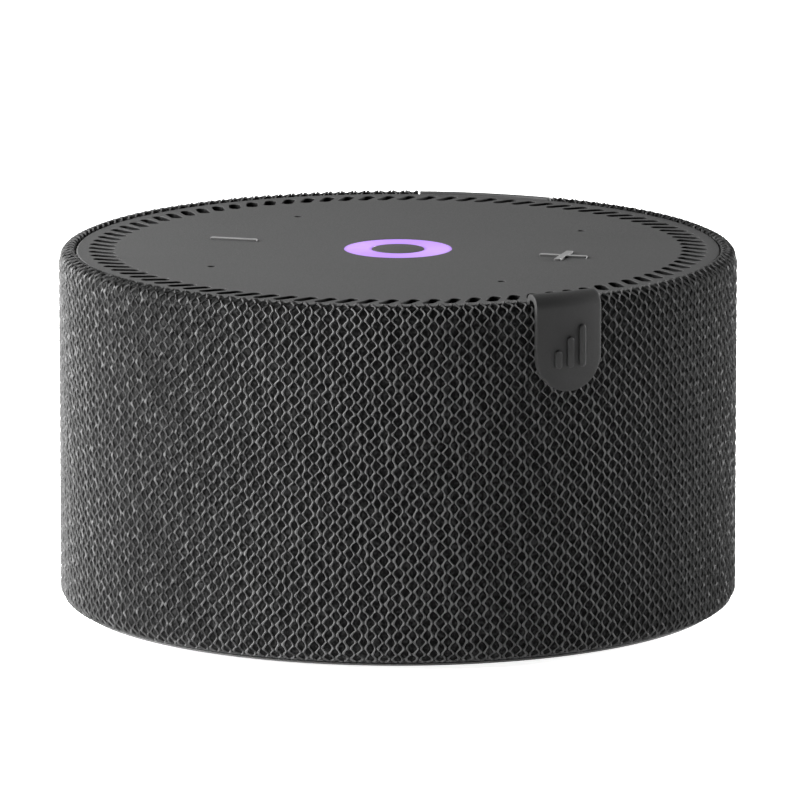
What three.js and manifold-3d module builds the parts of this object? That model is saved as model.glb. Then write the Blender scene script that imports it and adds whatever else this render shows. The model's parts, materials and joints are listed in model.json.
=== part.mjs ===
// A round smart home hub: a fabric drum with a vented touch plate on top, a speaker inside and a
// port panel at the back. Millimetres, +Z up, origin at the centre of the face it rests on.
// The front faces -Y, the port panel faces +Y, and angles are measured from +X towards +Y.
import * as THREE from "three";
import { mergeVertices } from "three/addons/utils/BufferGeometryUtils.js";
import Module from "manifold-3d";

const wasm = await Module();
wasm.setup();

// ---- Driving dimensions ----
const SKIN_GAP = 0.1; // between surfaces that lie on each other
const FIT = 0.3; // between pieces that pass through or are cut around each other

const DRUM_R = 49; // outside of the fabric
const RIM_TOP = 52.2; // highest line of the fabric rim
const RIM_WIDTH = 2.2; // from the fabric's outside to where it turns down beside the plate
const RIM_ROUND = 1.9; // outer rounding of the rim
const FABRIC_T = 0.6;
const HEM_ROUND = 2; // rounding at the bottom of the drum
const HEM_Z = 0.8; // lowest line of the fabric

const PLATE_SINK = 0.3; // the plate lies this much under the rim
const PLATE_T = 1.7;
const SLOT_COUNT = 90;
const SLOT_LENGTH = 4.2;
const SLOT_WIDTH = 1.7;
const SLOT_INSET = 3.7; // from the plate's edge to the middle of a slot
const SLOT_LEAN = 30; // degrees that a slot leans from the radius
const SLOT_PHASE = 0.5; // degrees
const MARK_RING_R = 24.8; // from the centre to the raised plus and minus
const MARK_LENGTH = 7;
const MARK_WIDTH = 1;
const MARK_HEIGHT = 0.3;
const MIC_COUNT = 4;
const MIC_RING_R = 30.5;
const MIC_HOLE_R = 0.58;
const RING_OUTER_R = 7.8; // the lit ring
const RING_INNER_R = 3.9;
const LENS_T = 0.8; // thickness of the lens's hidden flange

const TOP_BOARD_INSET = 6.8; // clear of the slots, so that sound passes around the board
const TOP_BOARD_T = 1.2;
const BOARD_DROP = 2; // from the plate's underside to the top board
const BOARD_POST_RING_R = 20;
const BOARD_POST_COUNT = 3;
const BOARD_SCREW_R = 0.85;
const POST_R = 2.3;
const LED_COUNT = 4;
const LED_SIZE = 1.6;
const TOUCH_PAD_R = 4;

const FRAME_T = 1.5;
const LEDGE_REACH = 1.3; // how far the plate lies on the frame's ledge
const LEDGE_T = 1.2;
const WINDOW_COUNT = 16;
const WINDOW_WIDTH = 9;
const WINDOW_LOW = 16;
const WINDOW_DROP = 7; // from the rim to the top of a window

const PANEL_HALF = 12.2; // half angle of the port panel, degrees
const PANEL_GAP = 0.4; // degrees between the panel and the fabric
const PANEL_T = 1.8;

const BASE_BOTTOM = 0.35;
const BASE_TOP = 3.2;
const BASE_FLOOR_T = 1.85;
const BASE_STEP = 0.7; // the base steps in by this much above its visible rim
const FOOT_INSET = 1.3; // from the base's step to the foot ring
const FOOT_WIDTH = 7;
const FOOT_T = 1.15;

const MAIN_BOARD_Z = 5;
const MAIN_BOARD_T = 1.4;
const BASE_SCREW_INSET = 4; // from the foot ring to the screws
const BASE_SCREW_COUNT = 4;
const SCREW_SHANK_R = 1.3;
const SCREW_HEAD_R = 2.7;
const SCREW_HEAD_T = 1.4;
const BOSS_R = 3.2;

const AIR_GAP = 6.8; // between the frame and the speaker enclosure
const SEAT_REACH = 2.8; // depth of the frame's ledge that the enclosure stands on
const ENCLOSURE_LOW = 12.5;
const ENCLOSURE_WALL = 2;
const SOUND_GAP = 6; // between the enclosure and the top board
const SIDE_FLAT = 5; // how far the side flats cut into the enclosure's round

const BASKET_NECK_R = 20.6; // the speaker's basket where it passes the enclosure
const FLANGE_WIDTH = 2.4;
const FLANGE_T = 0.9;
const BASKET_DEPTH = 11;
const SHEET_T = 0.8; // pressed steel of the basket
const WASHER_T = 2.8;
const MAGNET_R = 14.5;
const MAGNET_T = 5.9;
const YOKE_T = 2.5;
const POLE_R = 5.2;
const COIL_GAP = 0.3;
const COIL_WALL = 0.3;
const CONE_INSET = 2.2; // from the basket's neck to the cone's rim
const CAP_R = 7.6;
const RADIATOR_R = 12.6;
const RADIATOR_DISC_R = 7.4;

const PORT_DEPTH = 10.4; // from the panel's face to the port board
const PORT_BOARD_T = 1.2;
const PORT_BOARD_WIDTH = 17;
const PORT_BOARD_TOP = 36;
const JACK_TAIL = 4.6; // of the jack, behind the port board
const USB_Z = 11;
const USB_WIDTH = 8.94;
const USB_HEIGHT = 3.26;
const USB_WALL = 0.3;
const USB_TONGUE_WIDTH = 6.69;
const USB_TONGUE_T = 0.7;
const JACK_Z = 20.5;
const JACK_BORE_R = 1.8;
const JACK_NOSE_R = 2.8;
const JACK_BLOCK = 6.4;
const MUTE_Z = 30;
const MUTE_KNOB_WIDTH = 4;
const MUTE_KNOB_HEIGHT = 2.2;
const MUTE_TRAVEL = 2;
const STEM_WIDTH = 1.6;
const STEM_HEIGHT = 1.4;
const SWITCH_WIDTH = 9.4;
const SWITCH_HEIGHT = 3.8;
const SWITCH_DEPTH = 3.4;

const TAG_ANGLE = -45;
const TAG_WIDTH = 10.3;
const TAG_T = 0.9;
const TAG_DROP = 12.9; // from the rim to the lowest point of the tag
const TAG_EMBOSS = 0.3;
const BAR_HEIGHTS = [2.6, 4.4, 6]; // the raised emblem of level bars
const BAR_WIDTH = 1;
const BAR_PITCH = 1.9;
const BAR_BASE = 3.4; // from the tag's lowest point to the foot of the bars

const FLEX_WIDTH = 8;
const FLEX_T = 0.3;

const RING_STEPS = 40; // sides of the large round pieces
const PART_STEPS = 20; // sides of the small round pieces
const SMALL_STEPS = 12;
const FINE_ARC = 2; // roundings, in pairs of straight pieces
const PLAIN_ARC = 1;

// ---- Worked-out radii and levels ----
const RIM_INNER_R = DRUM_R - RIM_WIDTH;
const ROUND_R = DRUM_R - RIM_ROUND; // where the rim's rounding is centred
const ROUND_Z = RIM_TOP - RIM_ROUND;
const HEM_R = DRUM_R - HEM_ROUND;
const HEM_ROUND_Z = HEM_Z + HEM_ROUND;
const HEM_WIDTH = 0.5;

const PLATE_R = RIM_INNER_R - FIT;
const PLATE_TOP = RIM_TOP - PLATE_SINK;
const PLATE_LOW = PLATE_TOP - PLATE_T;
const SLOT_RING_R = PLATE_R - SLOT_INSET;
const TOP_BOARD_R = SLOT_RING_R - TOP_BOARD_INSET;
const BOARD_TOP = PLATE_LOW - BOARD_DROP;
const BOARD_LOW = BOARD_TOP - TOP_BOARD_T;

const FRAME_OUT_R = DRUM_R - FABRIC_T - SKIN_GAP;
const FRAME_IN_R = FRAME_OUT_R - FRAME_T;
const LEDGE_IN_R = PLATE_R - LEDGE_REACH;
const LEDGE_TOP = PLATE_LOW - SKIN_GAP;
const LEDGE_LOW = LEDGE_TOP - LEDGE_T;
const SEAT_LEDGE_IN_R = FRAME_IN_R - SEAT_REACH;

const BASE_STEP_R = HEM_R - BASE_STEP;
const FOOT_OUT_R = BASE_STEP_R - FOOT_INSET;
const FOOT_IN_R = FOOT_OUT_R - FOOT_WIDTH;
const BASE_SCREW_RING_R = FOOT_IN_R - BASE_SCREW_INSET;
const MAIN_BOARD_TOP = MAIN_BOARD_Z + MAIN_BOARD_T;

const ENCLOSURE_R = FRAME_IN_R - AIR_GAP;
const ENCLOSURE_SEAT_R = FRAME_IN_R - SEAT_REACH / 2;
const ENCLOSURE_TOP = BOARD_LOW - SOUND_GAP;
const ENCLOSURE_FLAT_X = ENCLOSURE_R - SIDE_FLAT; // the flats that carry the passive radiators
const FLOOR_TOP = ENCLOSURE_LOW + ENCLOSURE_WALL;
const RADIATOR_Z = (FLOOR_TOP + ENCLOSURE_TOP) / 2;
const PORT_BOARD_Y = DRUM_R - PORT_DEPTH;
const JACK_BACK_Y = PORT_BOARD_Y - JACK_TAIL;
const ENCLOSURE_FLAT_Y = JACK_BACK_Y - 1;

const TAG_END_Z = RIM_TOP - TAG_DROP;
const TAG_LEG_R = PLATE_R + 2 * SKIN_GAP; // the tag's inner leg, between the plate and the rim
const TAG_FACE_R = DRUM_R + FIT; // the back of its outer leg
const TAG_ROOM_R = TAG_LEG_R + TAG_T + SKIN_GAP;
const DEG = Math.PI / 180;

// ---- Materials ----
function finish(colour, roughness, metalness = 0) {
  return new THREE.MeshStandardMaterial({ color: colour, roughness, metalness });
}
const plateGrey = finish(0x55565a, 0.5);
const darkPlastic = finish(0x2b2c30, 0.55);
const structural = finish(0x1d1e21, 0.6);
const fabricGrey = finish(0x77787c, 0.9);
const softGrey = finish(0x4a4b50, 0.7);
const blackRubber = finish(0x202124, 0.85);
const litViolet = finish(0xc090fa, 0.3);
litViolet.emissive.set(0xa070f0);
const whitePlastic = finish(0xe9e9ec, 0.5);
const boardGreen = finish(0x1d4a33, 0.6);
const steel = finish(0xa9abae, 0.35, 0.9);
const ferrite = finish(0x303236, 0.7, 0.2);
const copper = finish(0xb4713d, 0.4, 0.8);
const paper = finish(0x2d2d2f, 0.8);
const cloth = finish(0xb08a4a, 0.9);
const flexAmber = finish(0xa8601c, 0.5);

// ---- Solids ----
function solidOf(geometry) {
  const bare = geometry.index ? geometry.toNonIndexed() : geometry.clone();
  bare.deleteAttribute("normal");
  bare.deleteAttribute("uv");
  const merged = mergeVertices(bare, 1e-4);
  return new wasm.Manifold(
    new wasm.Mesh({
      numProp: 3,
      vertProperties: merged.attributes.position.array,
      triVerts: new Uint32Array(merged.index.array),
    }),
  );
}

function geometryOf(solid) {
  const mesh = solid.getMesh();
  const geometry = new THREE.BufferGeometry();
  geometry.setAttribute("position", new THREE.BufferAttribute(mesh.vertProperties, 3));
  geometry.setIndex(new THREE.BufferAttribute(mesh.triVerts, 1));
  const faceted = geometry.toNonIndexed();
  faceted.computeVertexNormals();
  return faceted;
}

function cut(geometry, ...tools) {
  return geometryOf(tools.reduce((solid, tool) => solid.subtract(solidOf(tool)), solidOf(geometry)));
}

function join(geometry, ...others) {
  return geometryOf(others.reduce((solid, other) => solid.add(solidOf(other)), solidOf(geometry)));
}

function common(geometry, other) {
  return geometryOf(solidOf(geometry).intersect(solidOf(other)));
}

// A profile of [radius, height] points or a path, given anticlockwise, turned about Z.
function revolve(profile, steps = PART_STEPS, arcSteps = PLAIN_ARC) {
  const corners = Array.isArray(profile)
    ? profile.map(([r, z]) => new THREE.Vector2(r, z))
    : profile.getPoints(arcSteps);
  const onAxis = corners[0].x === 0 && corners.at(-1).x === 0;
  if (!onAxis && !corners[0].equals(corners.at(-1))) {
    corners.push(corners[0].clone());
  }
  return new THREE.LatheGeometry(corners, steps).rotateX(Math.PI / 2);
}

// A plain ring, or a disc where the inner radius is 0.
function ring(innerR, outerR, low, high, steps = PART_STEPS) {
  return revolve([[innerR, low], [outerR, low], [outerR, high], [innerR, high]], steps);
}

function slab(outline, low, high, curveSteps = FINE_ARC) {
  const depth = high - low;
  const geometry = new THREE.ExtrudeGeometry(outline, {
    depth,
    bevelEnabled: false,
    curveSegments: curveSteps,
  });
  return geometry.translate(0, 0, low);
}

function block(x0, x1, y0, y1, z0, z1) {
  const geometry = new THREE.BoxGeometry(x1 - x0, y1 - y0, z1 - z0);
  return geometry.translate((x0 + x1) / 2, (y0 + y1) / 2, (z0 + z1) / 2);
}

function circle(r, steps) {
  const corners = Array.from({ length: steps }, (_, i) => {
    const turn = (i / steps) * 2 * Math.PI;
    return new THREE.Vector2(r * Math.cos(turn), r * Math.sin(turn));
  });
  return new THREE.Shape(corners);
}

// A slot outline with round ends, centred, lying along X.
function slotOutline(length, width, endSteps) {
  const reach = (length - width) / 2;
  const corners = [];
  for (const side of [1, -1]) {
    for (let i = 0; i <= endSteps; i += 1) {
      const turn = (i / endSteps - 0.5) * Math.PI + (side < 0 ? Math.PI : 0);
      corners.push(
        new THREE.Vector2(side * reach + (width / 2) * Math.cos(turn), (width / 2) * Math.sin(turn)),
      );
    }
  }
  return corners;
}

function placed(corners, x, y, turnDeg) {
  const middle = new THREE.Vector2();
  return corners.map((p) => {
    const turned = p.clone().rotateAround(middle, turnDeg * DEG);
    return turned.add(new THREE.Vector2(x, y));
  });
}

function polar(r, angleDeg) {
  return [r * Math.cos(angleDeg * DEG), r * Math.sin(angleDeg * DEG)];
}

// A wedge about Z whose middle lies at the given angle.
function wedge(middleDeg, halfDeg, innerR, outerR, low, high) {
  const reach = outerR / Math.cos(halfDeg * DEG);
  const near = innerR / Math.cos(halfDeg * DEG);
  const outline = new THREE.Shape([
    new THREE.Vector2(...polar(near, middleDeg - halfDeg)),
    new THREE.Vector2(...polar(reach, middleDeg - halfDeg)),
    new THREE.Vector2(...polar(reach, middleDeg + halfDeg)),
    new THREE.Vector2(...polar(near, middleDeg + halfDeg)),
  ]);
  return slab(outline, low, high);
}

const hub = new THREE.Group();

function add(name, geometry, material) {
  const mesh = new THREE.Mesh(geometry, material);
  mesh.name = name;
  hub.add(mesh);
  return mesh;
}

// ---- The drum's skin ----
// Both the fabric and the port panel follow this outer line; thickness is how far in the back of it lies.
function skinProfile(thickness) {
  const path = new THREE.Path();
  path.moveTo(HEM_R - HEM_WIDTH, HEM_Z);
  path.lineTo(HEM_R, HEM_Z);
  path.absarc(HEM_R, HEM_ROUND_Z, HEM_ROUND, -Math.PI / 2, 0, false);
  path.lineTo(DRUM_R, ROUND_Z);
  path.absarc(ROUND_R, ROUND_Z, RIM_ROUND, 0, Math.PI / 2, false);
  path.lineTo(RIM_INNER_R, RIM_TOP - 0.2);
  path.lineTo(RIM_INNER_R, LEDGE_TOP + FIT);
  path.lineTo(RIM_INNER_R + FABRIC_T, LEDGE_TOP + FIT);
  path.lineTo(RIM_INNER_R + FABRIC_T, RIM_TOP - FABRIC_T);
  path.absarc(ROUND_R, ROUND_Z, RIM_ROUND - FABRIC_T, Math.PI / 3, 0, true);
  if (thickness > FABRIC_T) {
    path.lineTo(DRUM_R - FABRIC_T, LEDGE_LOW - FRAME_T);
    path.lineTo(DRUM_R - thickness, LEDGE_LOW - FRAME_T);
    path.lineTo(DRUM_R - thickness, BASE_TOP + 2 * FRAME_T);
    path.lineTo(DRUM_R - FABRIC_T, BASE_TOP + 2 * FRAME_T);
  }
  path.lineTo(DRUM_R - FABRIC_T, HEM_ROUND_Z);
  path.absarc(HEM_R, HEM_ROUND_Z, HEM_ROUND - FABRIC_T, 0, -Math.PI / 2, true);
  path.lineTo(HEM_R - HEM_WIDTH, HEM_Z + FABRIC_T);
  path.closePath();
  return path;
}

// Room for the tag where it comes up between the plate and the rim.
function tagPassage(low) {
  const halfAngle = Math.asin((TAG_WIDTH / 2 + FIT) / PLATE_R) / DEG;
  return wedge(TAG_ANGLE, halfAngle, PLATE_R - 1, TAG_ROOM_R, low, RIM_TOP + 1);
}

function fabricSleeve() {
  const opening = wedge(90, PANEL_HALF + PANEL_GAP, HEM_R - 2, DRUM_R + 5, -1, RIM_TOP + 5);
  const whole = revolve(skinProfile(FABRIC_T), RING_STEPS);
  return cut(whole, opening, tagPassage(LEDGE_TOP));
}

// ---- The frame that carries the fabric, the plate and the speaker ----
function frameProfile() {
  const rimIn = RIM_INNER_R + FABRIC_T + SKIN_GAP;
  const rimRound = RIM_ROUND - FABRIC_T - SKIN_GAP;
  const hemRound = HEM_ROUND - FABRIC_T - SKIN_GAP;
  const rimTurn = Math.acos((rimIn - ROUND_R) / rimRound);
  const stepR = BASE_STEP_R + 0.2;
  const flangeR = FOOT_OUT_R - FRAME_T;
  const flangeLow = BASE_TOP + SKIN_GAP;
  const seatTop = ENCLOSURE_LOW - SKIN_GAP;
  const seatLow = seatTop - FRAME_T;
  const path = new THREE.Path();
  path.moveTo(stepR, HEM_ROUND_Z - hemRound);
  path.lineTo(HEM_R, HEM_ROUND_Z - hemRound);
  path.absarc(HEM_R, HEM_ROUND_Z, hemRound, -Math.PI / 2, 0, false);
  path.lineTo(FRAME_OUT_R, ROUND_Z);
  path.absarc(ROUND_R, ROUND_Z, rimRound, 0, rimTurn, false);
  path.lineTo(rimIn, LEDGE_TOP);
  path.lineTo(LEDGE_IN_R, LEDGE_TOP);
  path.lineTo(LEDGE_IN_R, LEDGE_LOW);
  path.lineTo(FRAME_IN_R, LEDGE_LOW - (FRAME_IN_R - LEDGE_IN_R));
  path.lineTo(FRAME_IN_R, seatTop);
  path.lineTo(SEAT_LEDGE_IN_R, seatTop);
  path.lineTo(SEAT_LEDGE_IN_R, seatLow);
  path.lineTo(FRAME_IN_R, seatLow - (FRAME_IN_R - SEAT_LEDGE_IN_R) / 2);
  path.lineTo(FRAME_IN_R, flangeLow + FRAME_T);
  path.lineTo(flangeR, flangeLow + FRAME_T);
  path.lineTo(flangeR, flangeLow);
  path.lineTo(stepR, flangeLow);
  path.closePath();
  return path;
}

function grilleFrame() {
  const windows = [];
  const panelHalf = PANEL_HALF + 2 * PANEL_GAP;
  for (let i = 0; i < WINDOW_COUNT; i += 1) {
    const angle = ((i + 0.5) * 360) / WINDOW_COUNT;
    const halfAngle = Math.asin(WINDOW_WIDTH / 2 / FRAME_OUT_R) / DEG;
    const fromPanel = Math.abs(angle - 90);
    if (fromPanel > panelHalf + halfAngle + 1) {
      const high = RIM_TOP - WINDOW_DROP;
      windows.push(wedge(angle, halfAngle, FRAME_IN_R - 2, DRUM_R, WINDOW_LOW, high));
    }
  }
  const portWindow = wedge(
    90,
    panelHalf,
    SEAT_LEDGE_IN_R - 1,
    DRUM_R + 2,
    BASE_TOP + SKIN_GAP + FRAME_T,
    LEDGE_LOW - FRAME_T + FIT,
  );
  const whole = revolve(frameProfile(), RING_STEPS);
  return cut(whole, ...windows, portWindow, tagPassage(LEDGE_TOP));
}

// ---- Top plate ----
function markOutlines(isPlus) {
  const bar = [
    new THREE.Vector2(-MARK_LENGTH / 2, -MARK_WIDTH / 2),
    new THREE.Vector2(MARK_LENGTH / 2, -MARK_WIDTH / 2),
    new THREE.Vector2(MARK_LENGTH / 2, MARK_WIDTH / 2),
    new THREE.Vector2(-MARK_LENGTH / 2, MARK_WIDTH / 2),
  ];
  return isPlus ? [bar, placed(bar, 0, 0, 90)] : [bar];
}

function mark(isPlus) {
  const x = isPlus ? MARK_RING_R : -MARK_RING_R;
  const bars = markOutlines(isPlus).map((bar) =>
    slab(new THREE.Shape(placed(bar, x, 0, 0)), PLATE_TOP - 0.5, PLATE_TOP + MARK_HEIGHT),
  );
  return bars.length > 1 ? join(...bars) : bars[0];
}

function boardPostPlaces() {
  return Array.from({ length: BOARD_POST_COUNT }, (_, i) =>
    polar(BOARD_POST_RING_R, 90 + (i * 360) / BOARD_POST_COUNT),
  );
}

function micPlaces() {
  return Array.from({ length: MIC_COUNT }, (_, i) =>
    polar(MIC_RING_R, 45 + (i * 360) / MIC_COUNT),
  );
}

function hole(corners) {
  return new THREE.Path(corners);
}

function topPlate() {
  const outline = circle(PLATE_R, SLOT_COUNT);
  const slot = slotOutline(SLOT_LENGTH, SLOT_WIDTH, 2);
  for (let i = 0; i < SLOT_COUNT; i += 1) {
    const angle = (i * 360) / SLOT_COUNT + SLOT_PHASE;
    outline.holes.push(hole(placed(slot, ...polar(SLOT_RING_R, angle), angle - SLOT_LEAN)));
  }
  for (const place of micPlaces()) {
    outline.holes.push(hole(placed(circle(MIC_HOLE_R, 8).getPoints(), ...place, 0)));
  }
  outline.holes.push(hole(circle(RING_OUTER_R + SKIN_GAP, PART_STEPS).getPoints()));
  const postHoleR = BOARD_SCREW_R + FIT / 2;
  const posts = boardPostPlaces().map(([x, y]) => {
    const post = ring(postHoleR, POST_R, BOARD_TOP + SKIN_GAP, PLATE_LOW + 0.5, SMALL_STEPS);
    return post.translate(x, y, 0);
  });
  return join(slab(outline, PLATE_LOW, PLATE_TOP), mark(true), mark(false), ...posts);
}

function ringLens() {
  const flangeR = RING_OUTER_R + 1;
  const low = PLATE_LOW - SKIN_GAP - LENS_T;
  return revolve([
    [RING_INNER_R, low],
    [flangeR, low],
    [flangeR, PLATE_LOW - SKIN_GAP],
    [RING_OUTER_R, PLATE_LOW - SKIN_GAP],
    [RING_OUTER_R, PLATE_TOP],
    [RING_INNER_R, PLATE_TOP],
  ]);
}

function ringCap() {
  const capR = RING_INNER_R - SKIN_GAP;
  const stemR = capR - 1.2;
  return revolve([
    [0, BOARD_TOP + SKIN_GAP],
    [stemR, BOARD_TOP + SKIN_GAP],
    [stemR, PLATE_LOW],
    [capR, PLATE_LOW],
    [capR, PLATE_TOP],
    [0, PLATE_TOP],
  ]);
}

function lightBaffle() {
  const wallIn = RING_OUTER_R + 1.2;
  return revolve([
    [wallIn - 0.8, BOARD_TOP + SKIN_GAP],
    [wallIn + 1, BOARD_TOP + SKIN_GAP],
    [wallIn + 1, PLATE_LOW - SKIN_GAP],
    [wallIn, PLATE_LOW - SKIN_GAP],
    [wallIn, BOARD_TOP + 0.8],
    [wallIn - 0.8, BOARD_TOP + 0.5],
  ]);
}

// ---- Top board and what it carries ----
function topBoard() {
  const outline = circle(TOP_BOARD_R, RING_STEPS);
  for (const place of boardPostPlaces()) {
    const clearance = circle(BOARD_SCREW_R + FIT, SMALL_STEPS).getPoints();
    outline.holes.push(hole(placed(clearance, ...place, 0)));
  }
  for (const place of micPlaces()) {
    outline.holes.push(hole(placed(circle(MIC_HOLE_R, 8).getPoints(), ...place, 0)));
  }
  return slab(outline, BOARD_LOW, BOARD_TOP);
}

// A screw standing point up, the underside of its head at z = 0.
function screw(shankR, headR, headT, length) {
  const body = revolve(
    [
      [0, -headT],
      [headR * 0.8, -headT],
      [headR, -headT * 0.6],
      [headR, 0],
      [shankR, 0],
      [shankR, length - shankR],
      [0, length],
    ],
    SMALL_STEPS,
  );
  const wing = headR * 0.6;
  const groove = headR * 0.12;
  const depth = headT * 0.6;
  return cut(
    body,
    join(
      block(-wing, wing, -groove, groove, -headT - 1, -headT + depth),
      block(-groove, groove, -wing, wing, -headT - 1, -headT + depth),
    ),
  );
}

function addTopBoardGroup() {
  add("top_board", topBoard(), boardGreen);
  micPlaces().forEach(([x, y], i) => {
    const gasket = ring(MIC_HOLE_R + FIT, 2.6, BOARD_TOP + SKIN_GAP, PLATE_LOW - SKIN_GAP, SMALL_STEPS);
    add(`mic_gasket_${i + 1}`, gasket.translate(x, y, 0), blackRubber);
    const capsule = block(-1.75, 1.75, -1.33, 1.33, BOARD_LOW - 1.1, BOARD_LOW - SKIN_GAP);
    add(`microphone_${i + 1}`, capsule.rotateZ((45 + 90 * i) * DEG).translate(x, y, 0), steel);
  });
  for (let i = 0; i < LED_COUNT; i += 1) {
    const [x, y] = polar((RING_OUTER_R + RING_INNER_R) / 2, (i * 360) / LED_COUNT);
    const led = ring(0, LED_SIZE / Math.SQRT2, BOARD_TOP + SKIN_GAP, BOARD_TOP + 0.8, 4);
    add(`ring_led_${i + 1}`, led.rotateZ(Math.PI / 4).translate(x, y, 0), whitePlastic);
  }
  for (const [name, side] of [["minus", -1], ["plus", 1]]) {
    const foam = ring(0, TOUCH_PAD_R, BOARD_TOP + SKIN_GAP, PLATE_LOW - SKIN_GAP, SMALL_STEPS);
    add(`touch_pad_${name}`, foam.translate(side * MARK_RING_R, 0, 0), blackRubber);
  }
  boardPostPlaces().forEach(([x, y], i) => {
    const fixing = screw(BOARD_SCREW_R, 2, 0.9, BOARD_DROP + TOP_BOARD_T - FIT);
    add(`board_screw_${i + 1}`, fixing.translate(x, y, BOARD_LOW - SKIN_GAP), steel);
  });
  const spread = 17;
  const diffuser = new THREE.Path();
  diffuser.moveTo(0, BOARD_LOW - 5);
  diffuser.quadraticCurveTo(spread * 0.35, BOARD_LOW - 1.4, spread, BOARD_LOW - 1);
  diffuser.lineTo(spread, BOARD_LOW - SKIN_GAP);
  diffuser.lineTo(0, BOARD_LOW - SKIN_GAP);
  add("sound_diffuser", revolve(diffuser), structural);
}

// ---- Speaker enclosure ----
function enclosureOutline(inset) {
  const r = ENCLOSURE_R - inset;
  const flatX = ENCLOSURE_FLAT_X - inset;
  const flatY = ENCLOSURE_FLAT_Y - inset;
  const sideTurn = Math.acos(flatX / r);
  const rearTurn = Math.asin(flatY / r);
  const outline = new THREE.Shape();
  outline.absarc(0, 0, r, sideTurn, rearTurn, false);
  outline.absarc(0, 0, r, Math.PI - rearTurn, Math.PI - sideTurn, false);
  outline.absarc(0, 0, r, Math.PI + sideTurn, 2 * Math.PI - sideTurn, false);
  return outline;
}

function enclosureBody() {
  const shell = slab(enclosureOutline(0), FLOOR_TOP + SKIN_GAP, ENCLOSURE_TOP, 6);
  const inside = slab(enclosureOutline(ENCLOSURE_WALL), FLOOR_TOP - 1, ENCLOSURE_TOP - ENCLOSURE_WALL, 6);
  const speakerHole = ring(0, BASKET_NECK_R + FIT, ENCLOSURE_TOP - 5, ENCLOSURE_TOP + 1);
  const sideHole = new THREE.CylinderGeometry(
    RADIATOR_R - 2,
    RADIATOR_R - 2,
    2 * ENCLOSURE_R,
    PART_STEPS,
  );
  sideHole.rotateZ(Math.PI / 2).translate(0, 0, RADIATOR_Z);
  return cut(shell, inside, speakerHole, sideHole);
}

function baseScrewPlaces() {
  return Array.from({ length: BASE_SCREW_COUNT }, (_, i) =>
    polar(BASE_SCREW_RING_R, 45 + (i * 360) / BASE_SCREW_COUNT),
  );
}

function enclosureFloor() {
  const plate = ring(0, ENCLOSURE_SEAT_R, ENCLOSURE_LOW, FLOOR_TOP, RING_STEPS);
  const rearNotch = block(-11, 11, ENCLOSURE_FLAT_Y, DRUM_R, 0, FLOOR_TOP + 5);
  const flexHalf = FLEX_WIDTH / 2 + 1;
  const flexNotch = block(-flexHalf, flexHalf, -DRUM_R, -ENCLOSURE_R - FIT, 0, FLOOR_TOP + 5);
  const bosses = baseScrewPlaces().map(([x, y]) =>
    ring(0, BOSS_R, MAIN_BOARD_TOP + SKIN_GAP, FLOOR_TOP - 1, SMALL_STEPS).translate(x, y, 0),
  );
  const holes = baseScrewPlaces().map(([x, y]) =>
    ring(0, SCREW_SHANK_R + 0.2, 0, FLOOR_TOP - 0.6, SMALL_STEPS).translate(x, y, 0),
  );
  return cut(join(plate, ...bosses), rearNotch, flexNotch, ...holes);
}

// ---- Speaker driver, firing up ----
const FLANGE_LOW = ENCLOSURE_TOP + SKIN_GAP;
const FLANGE_TOP = FLANGE_LOW + FLANGE_T;
const BASKET_FLOOR = FLANGE_LOW - BASKET_DEPTH;
const SPIDER_SEAT = BASKET_FLOOR + 3.5;
const WASHER_TOP = BASKET_FLOOR - SKIN_GAP;
const FLANGE_R = BASKET_NECK_R + FLANGE_WIDTH;
const CONE_RIM_R = BASKET_NECK_R - CONE_INSET;
const FORMER_IN_R = POLE_R + COIL_GAP;
const FORMER_OUT_R = FORMER_IN_R + COIL_WALL;
const COIL_OUT_R = FORMER_OUT_R + COIL_WALL;

function driverBasket() {
  const seatR = MAGNET_R - 0.2;
  const floorIn = FORMER_OUT_R + 2 * SHEET_T;
  const body = revolve([
    [floorIn, BASKET_FLOOR],
    [seatR, BASKET_FLOOR],
    [seatR, SPIDER_SEAT - SHEET_T],
    [seatR + 2, SPIDER_SEAT - SHEET_T],
    [BASKET_NECK_R, FLANGE_LOW - 0.5],
    [BASKET_NECK_R, FLANGE_LOW],
    [FLANGE_R, FLANGE_LOW],
    [FLANGE_R, FLANGE_TOP],
    [BASKET_NECK_R - SHEET_T, FLANGE_TOP],
    [BASKET_NECK_R - SHEET_T, FLANGE_LOW - 0.3],
    [seatR + 1.5, SPIDER_SEAT],
    [seatR - SHEET_T, SPIDER_SEAT],
    [seatR - SHEET_T, BASKET_FLOOR + SHEET_T],
    [floorIn, BASKET_FLOOR + SHEET_T],
  ]);
  const windows = [0, 90, 180, 270].map((angle) =>
    wedge(angle, 30, seatR + 0.5, FLANGE_R, SPIDER_SEAT + SHEET_T, FLANGE_LOW - SHEET_T),
  );
  return cut(body, ...windows);
}

function driverYoke() {
  const low = WASHER_TOP - WASHER_T - MAGNET_T - YOKE_T - 2 * SKIN_GAP;
  return revolve([
    [0, low],
    [MAGNET_R - 2, low],
    [MAGNET_R - 1.3, low + 0.7],
    [MAGNET_R - 1.3, low + YOKE_T],
    [POLE_R, low + YOKE_T],
    [POLE_R, WASHER_TOP],
    [0, WASHER_TOP],
  ]);
}

function voiceCoil() {
  const top = FLANGE_LOW - 4.6;
  const low = WASHER_TOP - 5.5;
  const windingLow = WASHER_TOP - WASHER_T - 0.9;
  const windingTop = WASHER_TOP + 0.9;
  return revolve([
    [FORMER_IN_R, low],
    [FORMER_OUT_R, low],
    [FORMER_OUT_R, windingLow],
    [COIL_OUT_R, windingLow],
    [COIL_OUT_R, windingTop],
    [FORMER_OUT_R, windingTop],
    [FORMER_OUT_R, top],
    [FORMER_IN_R, top],
  ]);
}

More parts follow.
